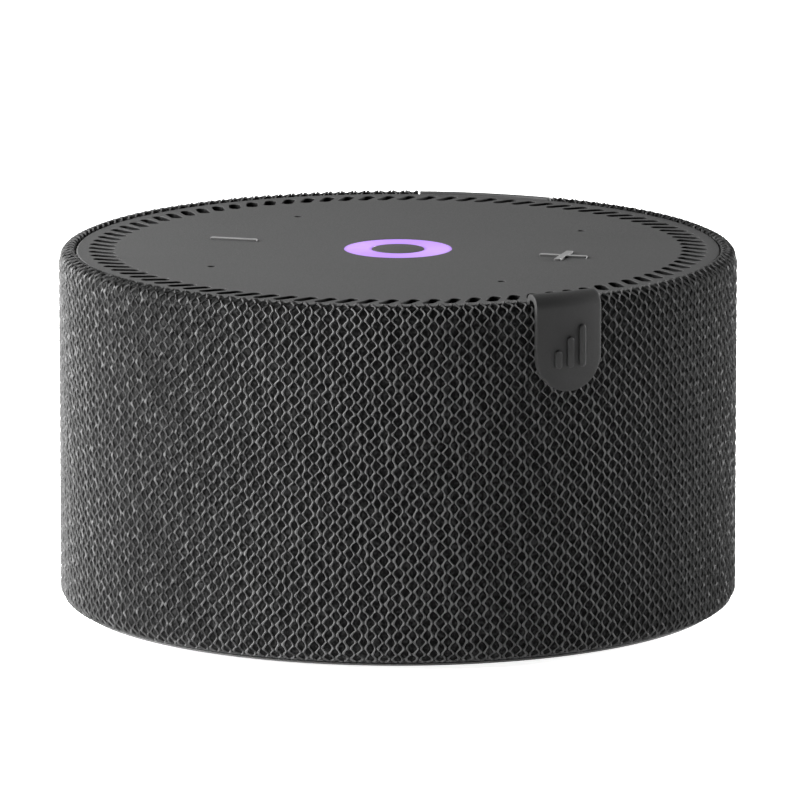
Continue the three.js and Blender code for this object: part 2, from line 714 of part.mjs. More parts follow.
// A ripple of thin sheet between two radii, its ends at the given height.
function rippledSheet(innerR, outerR, z, thickness, waves, rise) {
  const stepsPerWave = 4;
  const count = waves * stepsPerWave;
  const under = Array.from({ length: count + 1 }, (_, i) => [
    innerR + ((outerR - innerR) * i) / count,
    z + rise * Math.sin((2 * Math.PI * i) / stepsPerWave),
  ]);
  const over = under.map(([r, height]) => [r, height + thickness]).reverse();
  return revolve([...under, ...over]);
}

// A half-round roll of thin sheet with a flat rim on each side.
function rollProfile(innerR, rollInR, rollOutR, outerR, z, thickness) {
  const middle = (rollInR + rollOutR) / 2;
  const radius = (rollOutR - rollInR) / 2;
  const path = new THREE.Path();
  path.moveTo(innerR, z);
  path.lineTo(rollInR + thickness, z);
  path.absarc(middle, z, radius - thickness, Math.PI, 0, true);
  path.lineTo(outerR, z);
  path.lineTo(outerR, z + thickness);
  path.lineTo(rollOutR, z + thickness);
  path.absarc(middle, z + thickness, radius, 0, Math.PI, false);
  path.lineTo(innerR, z + thickness);
  path.closePath();
  return path;
}

function driverCone() {
  const neck = FORMER_OUT_R + 0.25;
  const low = FLANGE_LOW - 6.1;
  const lip = FLANGE_TOP - 0.6;
  return revolve([
    [neck, low],
    [neck + 3.4, low + 2.6],
    [CONE_RIM_R - 1.6, lip],
    [CONE_RIM_R, lip],
    [CONE_RIM_R, lip + 0.5],
    [CONE_RIM_R - 1.8, lip + 0.5],
    [neck + 3.1, low + 3.1],
    [neck, low + 0.6],
  ]);
}

function dustCap() {
  const edgeZ = FLANGE_LOW - 4.2;
  const crown = 2;
  const thickness = 0.45;
  const path = new THREE.Path();
  path.moveTo(0, edgeZ + crown);
  path.quadraticCurveTo(CAP_R * 0.6, edgeZ + crown, CAP_R - 0.4, edgeZ);
  path.lineTo(CAP_R, edgeZ);
  path.quadraticCurveTo(CAP_R * 0.65, edgeZ + crown + thickness, 0, edgeZ + crown + thickness);
  return revolve(path);
}

function addDriver() {
  const washerLow = WASHER_TOP - WASHER_T;
  const magnetTop = washerLow - SKIN_GAP;
  add("driver_basket", driverBasket(), structural);
  add("driver_washer", ring(COIL_OUT_R + COIL_GAP, MAGNET_R - 1.3, washerLow, WASHER_TOP), steel);
  add("driver_magnet", ring(POLE_R + 3, MAGNET_R, magnetTop - MAGNET_T, magnetTop), ferrite);
  add("driver_yoke", driverYoke(), steel);
  add("voice_coil", voiceCoil(), copper);
  const spiderIn = FORMER_OUT_R + 0.2;
  const spiderOut = MAGNET_R + 0.8;
  const spiderZ = SPIDER_SEAT + 0.6;
  add("driver_spider", rippledSheet(spiderIn, spiderOut, spiderZ, 0.4, 2, 0.45), cloth);
  add("driver_cone", driverCone(), paper);
  add("dust_cap", dustCap(), paper);
  const surround = rollProfile(
    CONE_RIM_R - 1.4,
    CONE_RIM_R,
    FLANGE_R - 1.7,
    FLANGE_R - 0.3,
    FLANGE_TOP + SKIN_GAP,
    0.4,
  );
  add("driver_surround", revolve(surround), blackRubber);
}

// ---- Passive radiators, one on each side flat ----
function addRadiator(side, name) {
  const seat = ENCLOSURE_FLAT_X + SKIN_GAP;
  const surroundT = 0.5;
  const discR = RADIATOR_DISC_R;
  const rollOutR = RADIATOR_R - 2.2;
  const roll = rollProfile(discR - 1, discR + 0.2, rollOutR, RADIATOR_R, 0, surroundT);
  const pieces = [
    ["surround", revolve(roll), blackRubber],
    ["frame", ring(rollOutR + 0.1, RADIATOR_R + 0.4, surroundT + SKIN_GAP, 2.2), structural],
    ["disc", ring(0, discR, surroundT + SKIN_GAP, 1.8), steel],
  ];
  for (const [kind, geometry, material] of pieces) {
    geometry.translate(0, 0, seat).rotateY((side * Math.PI) / 2).translate(0, 0, RADIATOR_Z);
    add(`radiator_${kind}_${name}`, geometry, material);
  }
}

// ---- Base ----
const HEAD_SEAT_Z = BASE_BOTTOM + SCREW_HEAD_T + 0.5; // where the screws' heads bear
function basePlate() {
  const innerFloor = BASE_BOTTOM + BASE_FLOOR_T;
  const grooveTop = FOOT_T + SKIN_GAP;
  const body = revolve(
    [
      [0, BASE_BOTTOM],
      [FOOT_IN_R - 0.2, BASE_BOTTOM],
      [FOOT_IN_R - 0.2, grooveTop],
      [FOOT_OUT_R + 0.2, grooveTop],
      [FOOT_OUT_R + 0.2, BASE_BOTTOM],
      [HEM_R - 0.2, BASE_BOTTOM],
      [HEM_R, BASE_BOTTOM + 0.2],
      [HEM_R, HEM_Z - SKIN_GAP],
      [BASE_STEP_R, HEM_Z - SKIN_GAP],
      [BASE_STEP_R, BASE_TOP],
      [BASE_STEP_R - FRAME_T, BASE_TOP],
      [BASE_STEP_R - FRAME_T, innerFloor],
      [0, innerFloor],
    ],
    RING_STEPS,
  );
  const bosses = baseScrewPlaces().map(([x, y]) =>
    ring(0, SCREW_HEAD_R + 1.4, innerFloor - 1, MAIN_BOARD_Z - SKIN_GAP, SMALL_STEPS).translate(x, y, 0),
  );
  const recesses = baseScrewPlaces().map(([x, y]) =>
    ring(0, SCREW_HEAD_R + FIT, -1, HEAD_SEAT_Z, SMALL_STEPS).translate(x, y, 0),
  );
  const holes = baseScrewPlaces().map(([x, y]) =>
    ring(0, SCREW_SHANK_R + FIT, -1, MAIN_BOARD_Z + 1, SMALL_STEPS).translate(x, y, 0),
  );
  return cut(join(body, ...bosses), ...recesses, ...holes);
}

function mainBoard() {
  const outline = circle(ENCLOSURE_R, RING_STEPS);
  for (const place of baseScrewPlaces()) {
    const clearance = circle(SCREW_SHANK_R + FIT, SMALL_STEPS).getPoints();
    outline.holes.push(hole(placed(clearance, ...place, 0)));
  }
  return slab(outline, MAIN_BOARD_Z, MAIN_BOARD_TOP);
}

function addBaseGroup() {
  add("base_plate", basePlate(), darkPlastic);
  add("foot_ring", ring(FOOT_IN_R, FOOT_OUT_R, 0, FOOT_T, RING_STEPS), blackRubber);
  const headUnder = HEAD_SEAT_Z - SKIN_GAP;
  const screwLength = FLOOR_TOP - 1 - headUnder;
  baseScrewPlaces().forEach(([x, y], i) => {
    const fixing = screw(SCREW_SHANK_R, SCREW_HEAD_R, SCREW_HEAD_T, screwLength);
    add(`base_screw_${i + 1}`, fixing.translate(x, y, headUnder), steel);
  });
  add("main_board", mainBoard(), boardGreen);
  const canLow = MAIN_BOARD_TOP + SKIN_GAP;
  const can = block(-13, 13, -20, 4, canLow, canLow + 3.2);
  const canInside = block(-12.7, 12.7, -19.7, 3.7, canLow - 1, canLow + 2.9);
  add("shield_can", cut(can, canInside), steel);
  add("antenna", block(18, 36, 6, 6.8, canLow, canLow + 5), boardGreen);
  const upY = -(ENCLOSURE_R + SEAT_LEDGE_IN_R) / 2 - FIT; // the ribbon climbs in the air gap
  const endY = -(TOP_BOARD_R - 3);
  const route = new THREE.CatmullRomCurve3(
    [
      [endY, canLow + 0.6],
      [endY - 4, canLow + 0.8],
      [upY + 0.9, canLow + 3],
      [upY, canLow + 10],
      [upY, BOARD_LOW - 10],
      [upY + 0.9, BOARD_LOW - 3],
      [endY - 4, BOARD_LOW - 0.9],
      [endY, BOARD_LOW - 0.7],
    ].map(([y, z]) => new THREE.Vector3(0, y, z)),
  );
  const ribbon = bar(FLEX_WIDTH, FLEX_T);
  const flex = new THREE.ExtrudeGeometry(ribbon, { steps: 28, extrudePath: route, bevelEnabled: false });
  add("flex_cable", flex, flexAmber);
}

// ---- Port panel, its board and sockets ----
const PORT_FACE_Y = PORT_BOARD_Y + PORT_BOARD_T + SKIN_GAP;
const USB_MOUTH_Y = DRUM_R - 0.5;
const JACK_MOUTH_Y = DRUM_R - 0.6;
const MUTE_SLOT_WIDTH = MUTE_KNOB_WIDTH + MUTE_TRAVEL + 2 * FIT;
const SWITCH_FRONT_Y = PORT_FACE_Y + SWITCH_DEPTH;

// An outline in X and Z pushed along +Y between two depths.
function prismY(outline, y0, y1, z, curveSteps = 3) {
  return slab(outline, -y1, -y0, curveSteps).rotateX(Math.PI / 2).translate(0, 0, z);
}

function pill(width, height) {
  return new THREE.Shape(slotOutline(width, height, 4));
}

function bar(width, height) {
  return new THREE.Shape([
    new THREE.Vector2(-width / 2, -height / 2),
    new THREE.Vector2(width / 2, -height / 2),
    new THREE.Vector2(width / 2, height / 2),
    new THREE.Vector2(-width / 2, height / 2),
  ]);
}

function rearPanel() {
  const sector = wedge(90, PANEL_HALF, HEM_R - 5, DRUM_R + 2, -1, RIM_TOP + 1);
  const skin = common(revolve(skinProfile(PANEL_T), RING_STEPS), sector);
  const through = [DRUM_R - 6, DRUM_R + 5];
  return cut(
    skin,
    prismY(pill(USB_WIDTH + 2 * FIT, USB_HEIGHT + 2 * FIT), ...through, USB_Z),
    prismY(circle(JACK_NOSE_R + FIT, PART_STEPS), ...through, JACK_Z),
    prismY(pill(MUTE_SLOT_WIDTH, MUTE_KNOB_HEIGHT + 2 * FIT), ...through, MUTE_Z),
  );
}

function usbShell() {
  const outer = prismY(pill(USB_WIDTH, USB_HEIGHT), PORT_FACE_Y, USB_MOUTH_Y, USB_Z);
  const inner = pill(USB_WIDTH - 2 * USB_WALL, USB_HEIGHT - 2 * USB_WALL);
  return cut(outer, prismY(inner, PORT_FACE_Y - 1, USB_MOUTH_Y + 1, USB_Z));
}

function usbTongue() {
  const plugFace = PORT_FACE_Y + 2.2;
  const core = pill(USB_WIDTH - 2 * USB_WALL - 0.2, USB_HEIGHT - 2 * USB_WALL - 0.2);
  return join(
    prismY(core, PORT_FACE_Y, plugFace, USB_Z),
    prismY(bar(USB_TONGUE_WIDTH, USB_TONGUE_T), plugFace - 1, USB_MOUTH_Y - 0.6, USB_Z),
  );
}

function audioJack() {
  const blockFront = DRUM_R - PANEL_T - 1.2;
  return cut(
    join(
      prismY(bar(JACK_BLOCK, JACK_BLOCK), JACK_BACK_Y, blockFront, JACK_Z),
      prismY(circle(JACK_NOSE_R, PART_STEPS), blockFront - 1, JACK_MOUTH_Y, JACK_Z),
    ),
    prismY(circle(JACK_BORE_R, PART_STEPS), JACK_BACK_Y + 1.2, DRUM_R + 1, JACK_Z),
  );
}

function muteSwitch() {
  const windowWidth = STEM_WIDTH + MUTE_TRAVEL + 2 * FIT;
  return cut(
    prismY(bar(SWITCH_WIDTH, SWITCH_HEIGHT), PORT_FACE_Y, SWITCH_FRONT_Y, MUTE_Z),
    prismY(bar(windowWidth, STEM_HEIGHT + 2 * FIT), SWITCH_FRONT_Y - 1.8, SWITCH_FRONT_Y + 1, MUTE_Z),
  );
}

// The slider rests at its left stop, seen from behind the hub, and travels towards -X.
function muteSlider() {
  const restX = MUTE_TRAVEL / 2;
  const coverFront = DRUM_R - PANEL_T - 1;
  const coverBack = coverFront - 0.9;
  const slider = join(
    prismY(pill(MUTE_KNOB_WIDTH, MUTE_KNOB_HEIGHT), coverBack, DRUM_R - 0.1, MUTE_Z),
    prismY(bar(MUTE_SLOT_WIDTH + MUTE_TRAVEL, MUTE_KNOB_HEIGHT + 2), coverBack, coverFront, MUTE_Z),
    prismY(bar(STEM_WIDTH, STEM_HEIGHT), SWITCH_FRONT_Y - 1.2, coverBack + 0.3, MUTE_Z),
  );
  return slider.translate(restX, 0, 0);
}

function portBoard() {
  const jackCut = JACK_BLOCK + 2 * FIT;
  const middleZ = (MAIN_BOARD_TOP + SKIN_GAP + PORT_BOARD_TOP) / 2;
  const height = PORT_BOARD_TOP - MAIN_BOARD_TOP - SKIN_GAP;
  return cut(
    prismY(bar(PORT_BOARD_WIDTH, height), PORT_BOARD_Y, PORT_BOARD_Y + PORT_BOARD_T, middleZ),
    prismY(bar(jackCut, jackCut), PORT_BOARD_Y - 1, PORT_BOARD_Y + PORT_BOARD_T + 1, JACK_Z),
  );
}

function addPortGroup() {
  add("rear_panel", rearPanel(), darkPlastic);
  add("port_board", portBoard(), boardGreen);
  add("usb_shell", usbShell(), steel);
  add("usb_tongue", usbTongue(), structural);
  add("audio_jack", audioJack(), structural);
  add("mute_switch", muteSwitch(), steel);
  add("mute_slider", muteSlider(), plateGrey);
}

// ---- Soft tag looped over the rim ----
function tagLoop() {
  const legOut = TAG_LEG_R + TAG_T;
  const faceOut = TAG_FACE_R + TAG_T;
  const topIn = RIM_TOP + SKIN_GAP;
  const topOut = topIn + TAG_T;
  const outerRound = RIM_ROUND;
  const innerRound = outerRound - TAG_T;
  const path = new THREE.Path();
  path.moveTo(TAG_LEG_R, LEDGE_TOP + FIT);
  path.lineTo(legOut, LEDGE_TOP + FIT);
  path.lineTo(legOut, topIn);
  path.lineTo(TAG_FACE_R - innerRound, topIn);
  path.absarc(TAG_FACE_R - innerRound, topIn - innerRound, innerRound, Math.PI / 2, 0, true);
  path.lineTo(TAG_FACE_R, TAG_END_Z - 1);
  path.lineTo(faceOut, TAG_END_Z - 1);
  path.lineTo(faceOut, topOut - outerRound);
  path.absarc(faceOut - outerRound, topOut - outerRound, outerRound, 0, Math.PI / 2, false);
  path.lineTo(TAG_LEG_R + 0.6, topOut);
  path.lineTo(TAG_LEG_R, topOut - 0.5);
  path.closePath();
  return revolve(path, RING_STEPS, FINE_ARC);
}

// Outline of the tag seen from outside: straight sides and a half-round lower end.
function tagOutline() {
  const half = TAG_WIDTH / 2;
  const outline = new THREE.Shape();
  outline.moveTo(half, RIM_TOP + 5);
  outline.lineTo(-half, RIM_TOP + 5);
  outline.lineTo(-half, TAG_END_Z + half);
  outline.absarc(0, TAG_END_Z + half, half, Math.PI, 2 * Math.PI, false);
  outline.closePath();
  return outline;
}

// Three level bars, the emblem raised on the tag.
function levelBars() {
  const faceOut = TAG_FACE_R + TAG_T;
  return BAR_HEIGHTS.map((height, i) => {
    const upright = new THREE.Shape(placed(slotOutline(height, BAR_WIDTH, 3), 0, 0, 90));
    const middleZ = TAG_END_Z + BAR_BASE + height / 2;
    const raised = prismY(upright, faceOut - 0.4, faceOut + TAG_EMBOSS, middleZ);
    return raised.translate((1 - i) * BAR_PITCH, 0, 0);
  });
}

function tag() {
  const outline = prismY(tagOutline(), PLATE_R - 3, DRUM_R + 4, 0, 5);
  const turn = (TAG_ANGLE - 90) * DEG;
  const loop = common(tagLoop(), outline.rotateZ(turn));
  return join(loop, ...levelBars().map((shape) => shape.rotateZ(turn)));
}

// ---- Assembly ----
add("fabric_sleeve", fabricSleeve(), fabricGrey);
add("grille_frame", grilleFrame(), structural);
add("tag", tag(), softGrey);
add("top_plate", topPlate(), plateGrey);
add("ring_lens", ringLens(), litViolet);
add("ring_cap", ringCap(), plateGrey);
add("light_baffle", lightBaffle(), whitePlastic);
addTopBoardGroup();
add("enclosure_body", enclosureBody(), structural);
add("enclosure_floor", enclosureFloor(), structural);
addDriver();
addRadiator(-1, "left");
addRadiator(1, "right");
addBaseGroup();
addPortGroup();

export default hub;
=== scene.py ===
import json
import math
from contextlib import contextmanager

import bpy
import numpy as np
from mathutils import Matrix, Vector


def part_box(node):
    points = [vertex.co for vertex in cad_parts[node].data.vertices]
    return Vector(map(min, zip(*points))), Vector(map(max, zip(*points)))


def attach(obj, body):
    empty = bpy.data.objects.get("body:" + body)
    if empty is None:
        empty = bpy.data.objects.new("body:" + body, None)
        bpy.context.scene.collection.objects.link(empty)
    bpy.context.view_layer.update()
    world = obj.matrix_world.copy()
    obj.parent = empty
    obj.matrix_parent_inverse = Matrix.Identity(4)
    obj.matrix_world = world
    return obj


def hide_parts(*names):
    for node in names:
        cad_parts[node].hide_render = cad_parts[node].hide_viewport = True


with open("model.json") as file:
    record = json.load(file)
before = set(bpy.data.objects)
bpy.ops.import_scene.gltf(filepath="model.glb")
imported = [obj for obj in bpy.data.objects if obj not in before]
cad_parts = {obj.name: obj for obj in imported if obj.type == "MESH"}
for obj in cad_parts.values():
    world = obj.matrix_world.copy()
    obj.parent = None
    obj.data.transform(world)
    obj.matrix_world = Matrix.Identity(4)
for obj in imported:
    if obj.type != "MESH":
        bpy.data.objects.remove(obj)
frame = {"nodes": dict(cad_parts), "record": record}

bpy.ops.object.select_all(action="DESELECT")
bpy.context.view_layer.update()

# A round smart home hub: knitted drum, vented touch plate with a lit ring, soft tag, port panel.
# Metres, +Z up, front towards -Y, port panel towards +Y. Angles run from +X towards +Y.
MM = 0.001

# ---- Sizes taken from the frame ----
sleeve_low, sleeve_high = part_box("fabric_sleeve")
plate_low, plate_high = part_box("top_plate")
lens_low, lens_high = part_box("ring_lens")
cap_low, cap_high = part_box("ring_cap")
base_low, base_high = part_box("base_plate")
_, foot_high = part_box("foot_ring")
_, screw_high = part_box("base_screw_1")
tag_low, tag_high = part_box("tag")
shell_low, shell_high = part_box("usb_shell")
tongue_low, tongue_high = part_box("usb_tongue")
jack_low, jack_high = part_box("audio_jack")
slider_low, slider_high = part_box("mute_slider")

DRUM_R = sleeve_high.x
RIM_TOP = sleeve_high.z
HEM_Z = sleeve_low.z
RIM_ROUND = 1.9 * MM
RIM_WIDTH = 2.2 * MM
HEM_ROUND = 2.0 * MM
RIM_INNER_R = DRUM_R - RIM_WIDTH
HEM_R = DRUM_R - HEM_ROUND
FLAP_LOW = 50.4 * MM  # where the fabric ends, down beside the plate
PANEL_HALF = math.radians(12.2)
OPENING_HALF = math.radians(12.6)

PLATE_R = plate_high.x
PLATE_TOP = lens_high.z
PLATE_T = 1.7 * MM
PLATE_LOW = PLATE_TOP - PLATE_T
SLOT_COUNT = 90
SLOT_LENGTH = 4.2 * MM
SLOT_WIDTH = 1.7 * MM
SLOT_RING_R = PLATE_R - 3.7 * MM
SLOT_LEAN = math.radians(30)
SLOT_PHASE = math.radians(0.5)
MARK_RING_R = 24.8 * MM
MARK_LENGTH = 7.0 * MM
MARK_WIDTH = 1.0 * MM
MIC_RING_R = 30.5 * MM
MIC_HOLE_R = 0.58 * MM
POST_RING_R = 20.0 * MM
RING_OUTER_R = lens_high.x - 1.0 * MM
RING_INNER_R = cap_high.x + 0.1 * MM

TAG_ANGLE = math.radians(-45)
TAG_HALF = 5.15 * MM
TAG_T = 0.9 * MM

ROUND_STEPS = 144  # around the large round pieces
WELD = 0.002 * MM  # points closer than this are one


# ---- Making pieces ----
def take(*pieces):
    """Selects only these pieces, the first one active."""
    bpy.ops.object.select_all(action="DESELECT")
    for piece in pieces:
        piece.select_set(True)
    bpy.context.view_layer.objects.active = pieces[0]


@contextmanager
def editing(piece, chosen="SELECT"):
    """Edit mode on this piece alone, with all of it chosen, none of it, or what already was."""
    take(piece)
    bpy.ops.object.mode_set(mode="EDIT")
    if chosen:
        bpy.ops.mesh.select_all(action=chosen)
    yield
    bpy.ops.object.mode_set(mode="OBJECT")


def apply_all(piece):
    """Turns the piece's modifiers into its mesh."""
    take(piece)
    for modifier in list(piece.modifiers):
        bpy.ops.object.modifier_apply(modifier=modifier.name)
    return piece


def settle(piece):
    """Puts the piece's place and turn into its mesh."""
    take(piece)
    bpy.ops.object.transform_apply(location=True, rotation=True, scale=True)
    return piece


def smooth(piece, degrees=35, even=True):
    """Smooth shading across gentle edges, with the broad faces kept flat."""
    take(piece)
    bpy.ops.object.shade_smooth_by_angle(angle=math.radians(degrees))
    if even:
        weighted = piece.modifiers.new("even", "WEIGHTED_NORMAL")
        weighted.keep_sharp = True
        weighted.weight = 80
        apply_all(piece)
    return piece


def face_out(piece):
    """Turns every face of a closed piece outwards."""
    with editing(piece):
        bpy.ops.mesh.normals_make_consistent(inside=False)
    return piece


def as_mesh(piece):
    take(piece)
    bpy.ops.object.convert(target="MESH")
    return bpy.context.object


def drawn(name, loops):
    """A closed curve through each loop of points."""
    curve = bpy.data.curves.new(name, "CURVE")
    curve.dimensions = "3D"
    for points in loops:
        spline = curve.splines.new("POLY")
        spline.points.add(len(points) - 1)
        for spot, point in zip(spline.points, points):
            spot.co = (point[0], point[1], point[2] if len(point) > 2 else 0.0, 1.0)
        spline.use_cyclic_u = True
    piece = bpy.data.objects.new(name, curve)
    bpy.context.scene.collection.objects.link(piece)
    return piece


def cut_sheet(name, loops, low, high, edge=0.0, rounds=2):
    """A flat piece of the loops' outline, its inner loops as holes, with rounded edges."""
    piece = drawn(name, loops)
    curve = piece.data
    curve.dimensions = "2D"
    curve.fill_mode = "BOTH"
    curve.extrude = (high - low) / 2 - edge
    curve.bevel_depth = edge
    curve.bevel_resolution = rounds
    curve.offset = -edge
    piece = as_mesh(piece)
    with editing(piece):
        bpy.ops.mesh.remove_doubles(threshold=WELD)
        bpy.ops.mesh.normals_make_consistent(inside=False)
    piece.location.z = (low + high) / 2
    return settle(piece)


def spun(name, profile, steps, start=0.0, sweep=2 * math.pi):
    """The closed profile of (radius, height) points spun around Z, its open ends filled."""
    piece = as_mesh(drawn(name, [[(r * math.cos(start), r * math.sin(start), z) for r, z in profile]]))
    with editing(piece):
        bpy.ops.mesh.spin(steps=steps, angle=-sweep, center=(0, 0, 0), axis=(0, 0, 1))
        bpy.ops.mesh.select_all(action="SELECT")
        bpy.ops.mesh.remove_doubles(threshold=WELD / 2)
        bpy.ops.mesh.fill_holes(sides=0)
        bpy.ops.mesh.select_all(action="SELECT")
        bpy.ops.mesh.normals_make_consistent(inside=False)
    return piece


def arc(cx, cz, radius, start, end, steps):
    """Points on an arc, angles in degrees."""
    turns = np.radians(np.linspace(start, end, steps + 1))
    return [(cx + radius * math.cos(t), cz + radius * math.sin(t)) for t in turns]


def eased(points, radius, steps=3):
    """The closed outline with each of its corners rounded by up to that radius."""
    out = []
    count = len(points)
    for k in range(count):
        before, here, after = (Vector(points[(k + d) % count][:2]) for d in (-1, 0, 1))
        back, ahead = before - here, after - here
        reach = min(radius, back.length * 0.45, ahead.length * 0.45)
        a, b = here + back.normalized() * reach, here + ahead.normalized() * reach
        for i in range(steps + 1):
            t = i / steps
            spot = a * (1 - t) ** 2 + here * 2 * t * (1 - t) + b * t * t
            out.append((spot.x, spot.y))
    return out


def on_ring(radius, angle):
    return radius * math.cos(angle), radius * math.sin(angle)


def circle(radius, steps, cx=0.0, cy=0.0):
    turns = np.linspace(0, 2 * math.pi, steps, endpoint=False)
    return [(cx + radius * math.cos(t), cy + radius * math.sin(t)) for t in turns]


def capsule(length, width, steps=8, cx=0.0, cy=0.0, turn=0.0):
    """The outline of a slot with round ends, lying along its turn."""
    reach = (length - width) / 2
    points = arc(reach, 0, width / 2, -90, 90, steps) + arc(-reach, 0, width / 2, 90, 270, steps)
    c, s = math.cos(turn), math.sin(turn)
    return [(cx + x * c - y * s, cy + x * s + y * c) for x, y in points]


def block(name, low, high, edge=0.0, rounds=2):
    """A box between two corners with its edges rounded."""
    low, high = Vector(low), Vector(high)
    bpy.ops.mesh.primitive_cube_add(size=1, location=(low + high) / 2)
    piece = bpy.context.object
    piece.name = name
    piece.scale = high - low
    settle(piece)
    if edge:
        with editing(piece):
            bpy.ops.mesh.bevel(offset=edge, segments=rounds, affect="EDGES")
    return piece


def combined(piece, operation, tools):
    """Cuts the tools from the piece, or joins them to it as one body."""
    for tool in tools:
        modifier = piece.modifiers.new("combine", "BOOLEAN")
        modifier.operation = operation
        modifier.solver = "EXACT"
        modifier.object = tool
        apply_all(piece)
        bpy.data.objects.remove(tool)
    return piece


def cut_away(piece, *tools):
    return combined(piece, "DIFFERENCE", tools)


def grown(piece, *additions):
    return combined(piece, "UNION", additions)


def copy_of(piece, name):
    """A copy of the piece with a mesh of its own."""
    copy = piece.copy()
    copy.data = piece.data.copy()
    copy.name = name
    bpy.context.scene.collection.objects.link(copy)
    return copy


def one_piece(name, first, *others):
    """Joins pieces that are moulded or pressed as one."""
    take(first, *others)
    bpy.ops.object.join()
    joined = bpy.context.object
    joined.name = name
    return joined


def eased_edges(piece, width, degrees, segments):
    """Rounds every edge that is sharper than that angle."""
    modifier = piece.modifiers.new("edges", "BEVEL")
    modifier.width = width
    modifier.segments = segments
    modifier.limit_method = "ANGLE"
    modifier.angle_limit = math.radians(degrees)
    modifier.harden_normals = False
    return apply_all(piece)


def vertices_of(piece):
    flat = np.empty(len(piece.data.vertices) * 3)
    piece.data.vertices.foreach_get("co", flat)
    return flat.reshape(-1, 3)


def set_vertices(piece, places):
    piece.data.vertices.foreach_set("co", places.ravel())
    piece.data.update()


def ease_ring(piece, inner_r, outer_r, low, width, rounds):
    """Rounds the sharp edges that lie between two radii and above a height."""
    with editing(piece, "DESELECT"):
        bpy.ops.mesh.select_mode(type="EDGE")
        bpy.ops.mesh.edges_select_sharp(sharpness=math.radians(50))
    places = vertices_of(piece)
    far = np.hypot(places[:, 0], places[:, 1])
    inside = (far > inner_r) & (far < outer_r) & (places[:, 2] > low)
    for edge in piece.data.edges:
        a, b = edge.vertices
        edge.select = bool(edge.select and inside[a] and inside[b])
    with editing(piece, None):
        bpy.ops.mesh.bevel(offset=width, segments=rounds, affect="EDGES")
        bpy.ops.mesh.select_mode(type="VERT")
    return piece


def flatten_top(piece, height):
    """Keeps the broad upper face from sharing its shading with the rounded edges round it."""
    with editing(piece, "DESELECT"):
        bpy.ops.mesh.select_mode(type="FACE")
    for face in piece.data.polygons:
        face.select = face.normal.z > 0.999 and face.center.z > height
    with editing(piece, None):
        bpy.ops.mesh.faces_shade_flat()
        bpy.ops.mesh.select_mode(type="VERT")
    return piece


# ---- Finishes ----
NOISE_LOW, NOISE_HIGH = 0.3, 0.7  # most of a noise texture lies between these
ROUGH_RANGE = 0.08


def grey(value):
    return (value, value, value)


def new_finish(name):
    material = bpy.data.materials.new(name)
    material.use_nodes = True
    tree = material.node_tree
    tree.nodes.clear()
    output = tree.nodes.new("ShaderNodeOutputMaterial")
    shader = tree.nodes.new("ShaderNodeBsdfPrincipled")
    tree.links.new(shader.outputs["BSDF"], output.inputs["Surface"])
    coordinates = tree.nodes.new("ShaderNodeTexCoord")
    return material, tree, shader, coordinates.outputs["Object"]


def noise(tree, where, scale, detail=3.0, stretch=None):
    if stretch is not None:
        mapping = tree.nodes.new("ShaderNodeMapping")
        mapping.inputs["Scale"].default_value = stretch
        tree.links.new(where, mapping.inputs["Vector"])
        where = mapping.outputs["Vector"]
    texture = tree.nodes.new("ShaderNodeTexNoise")
    texture.inputs["Scale"].default_value = scale
    texture.inputs["Detail"].default_value = detail
    tree.links.new(where, texture.inputs["Vector"])
    return texture.outputs["Fac"]


def ranged(tree, value, low, high, to_low, to_high):
    node = tree.nodes.new("ShaderNodeMapRange")
    node.inputs["From Min"].default_value = low
    node.inputs["From Max"].default_value = high
    node.inputs["To Min"].default_value = to_low
    node.inputs["To Max"].default_value = to_high
    tree.links.new(value, node.inputs["Value"])
    return node.outputs["Result"]


def spread(tree, texture, to_low=0.0, to_high=1.0):
    """A noise texture stretched over the whole of a range."""
    return ranged(tree, texture, NOISE_LOW, NOISE_HIGH, to_low, to_high)


def reckoned(tree, operation, *values):
    """A sum on numbers or sockets."""
    node = tree.nodes.new("ShaderNodeMath")
    node.operation = operation
    for socket, value in zip(node.inputs, values):
        if isinstance(value, bpy.types.NodeSocket):
            tree.links.new(value, socket)
        else:
            socket.default_value = value
    return node.outputs[0]


def split(tree, vector):
    """The X, Y and Z of a vector."""
    node = tree.nodes.new("ShaderNodeSeparateXYZ")
    tree.links.new(vector, node.inputs[0])
    return node.outputs["X"], node.outputs["Y"], node.outputs["Z"]


def squares(tree, x, y):
    """X squared, Y squared and their sum, the square of the distance from the upright axis."""
    xx = reckoned(tree, "MULTIPLY", x, x)
    yy = reckoned(tree, "MULTIPLY", y, y)
    return xx, yy, reckoned(tree, "ADD", xx, yy)


def mixed(tree, share, first, second):
    """Colour between two, either of them a colour or a socket."""
    node = tree.nodes.new("ShaderNodeMix")
    node.data_type = "RGBA"
    tree.links.new(share, node.inputs[0])
    for socket, colour in ((node.inputs[6], first), (node.inputs[7], second)):
        if isinstance(colour, bpy.types.NodeSocket):
            tree.links.new(colour, socket)
        else:
            socket.default_value = (*colour, 1.0)
    return node.outputs[2]


def bumped(tree, shader, height, depth, under=None):
    """Fine relief on the surface, over any relief given as lying under it."""
    node = tree.nodes.new("ShaderNodeBump")
    node.inputs["Strength"].default_value = 1.0
    node.inputs["Distance"].default_value = depth
    tree.links.new(height, node.inputs["Height"])
    if under is not None:
        tree.links.new(under, node.inputs["Normal"])
    tree.links.new(node.outputs["Normal"], shader.inputs["Normal"])
    return node.outputs["Normal"]


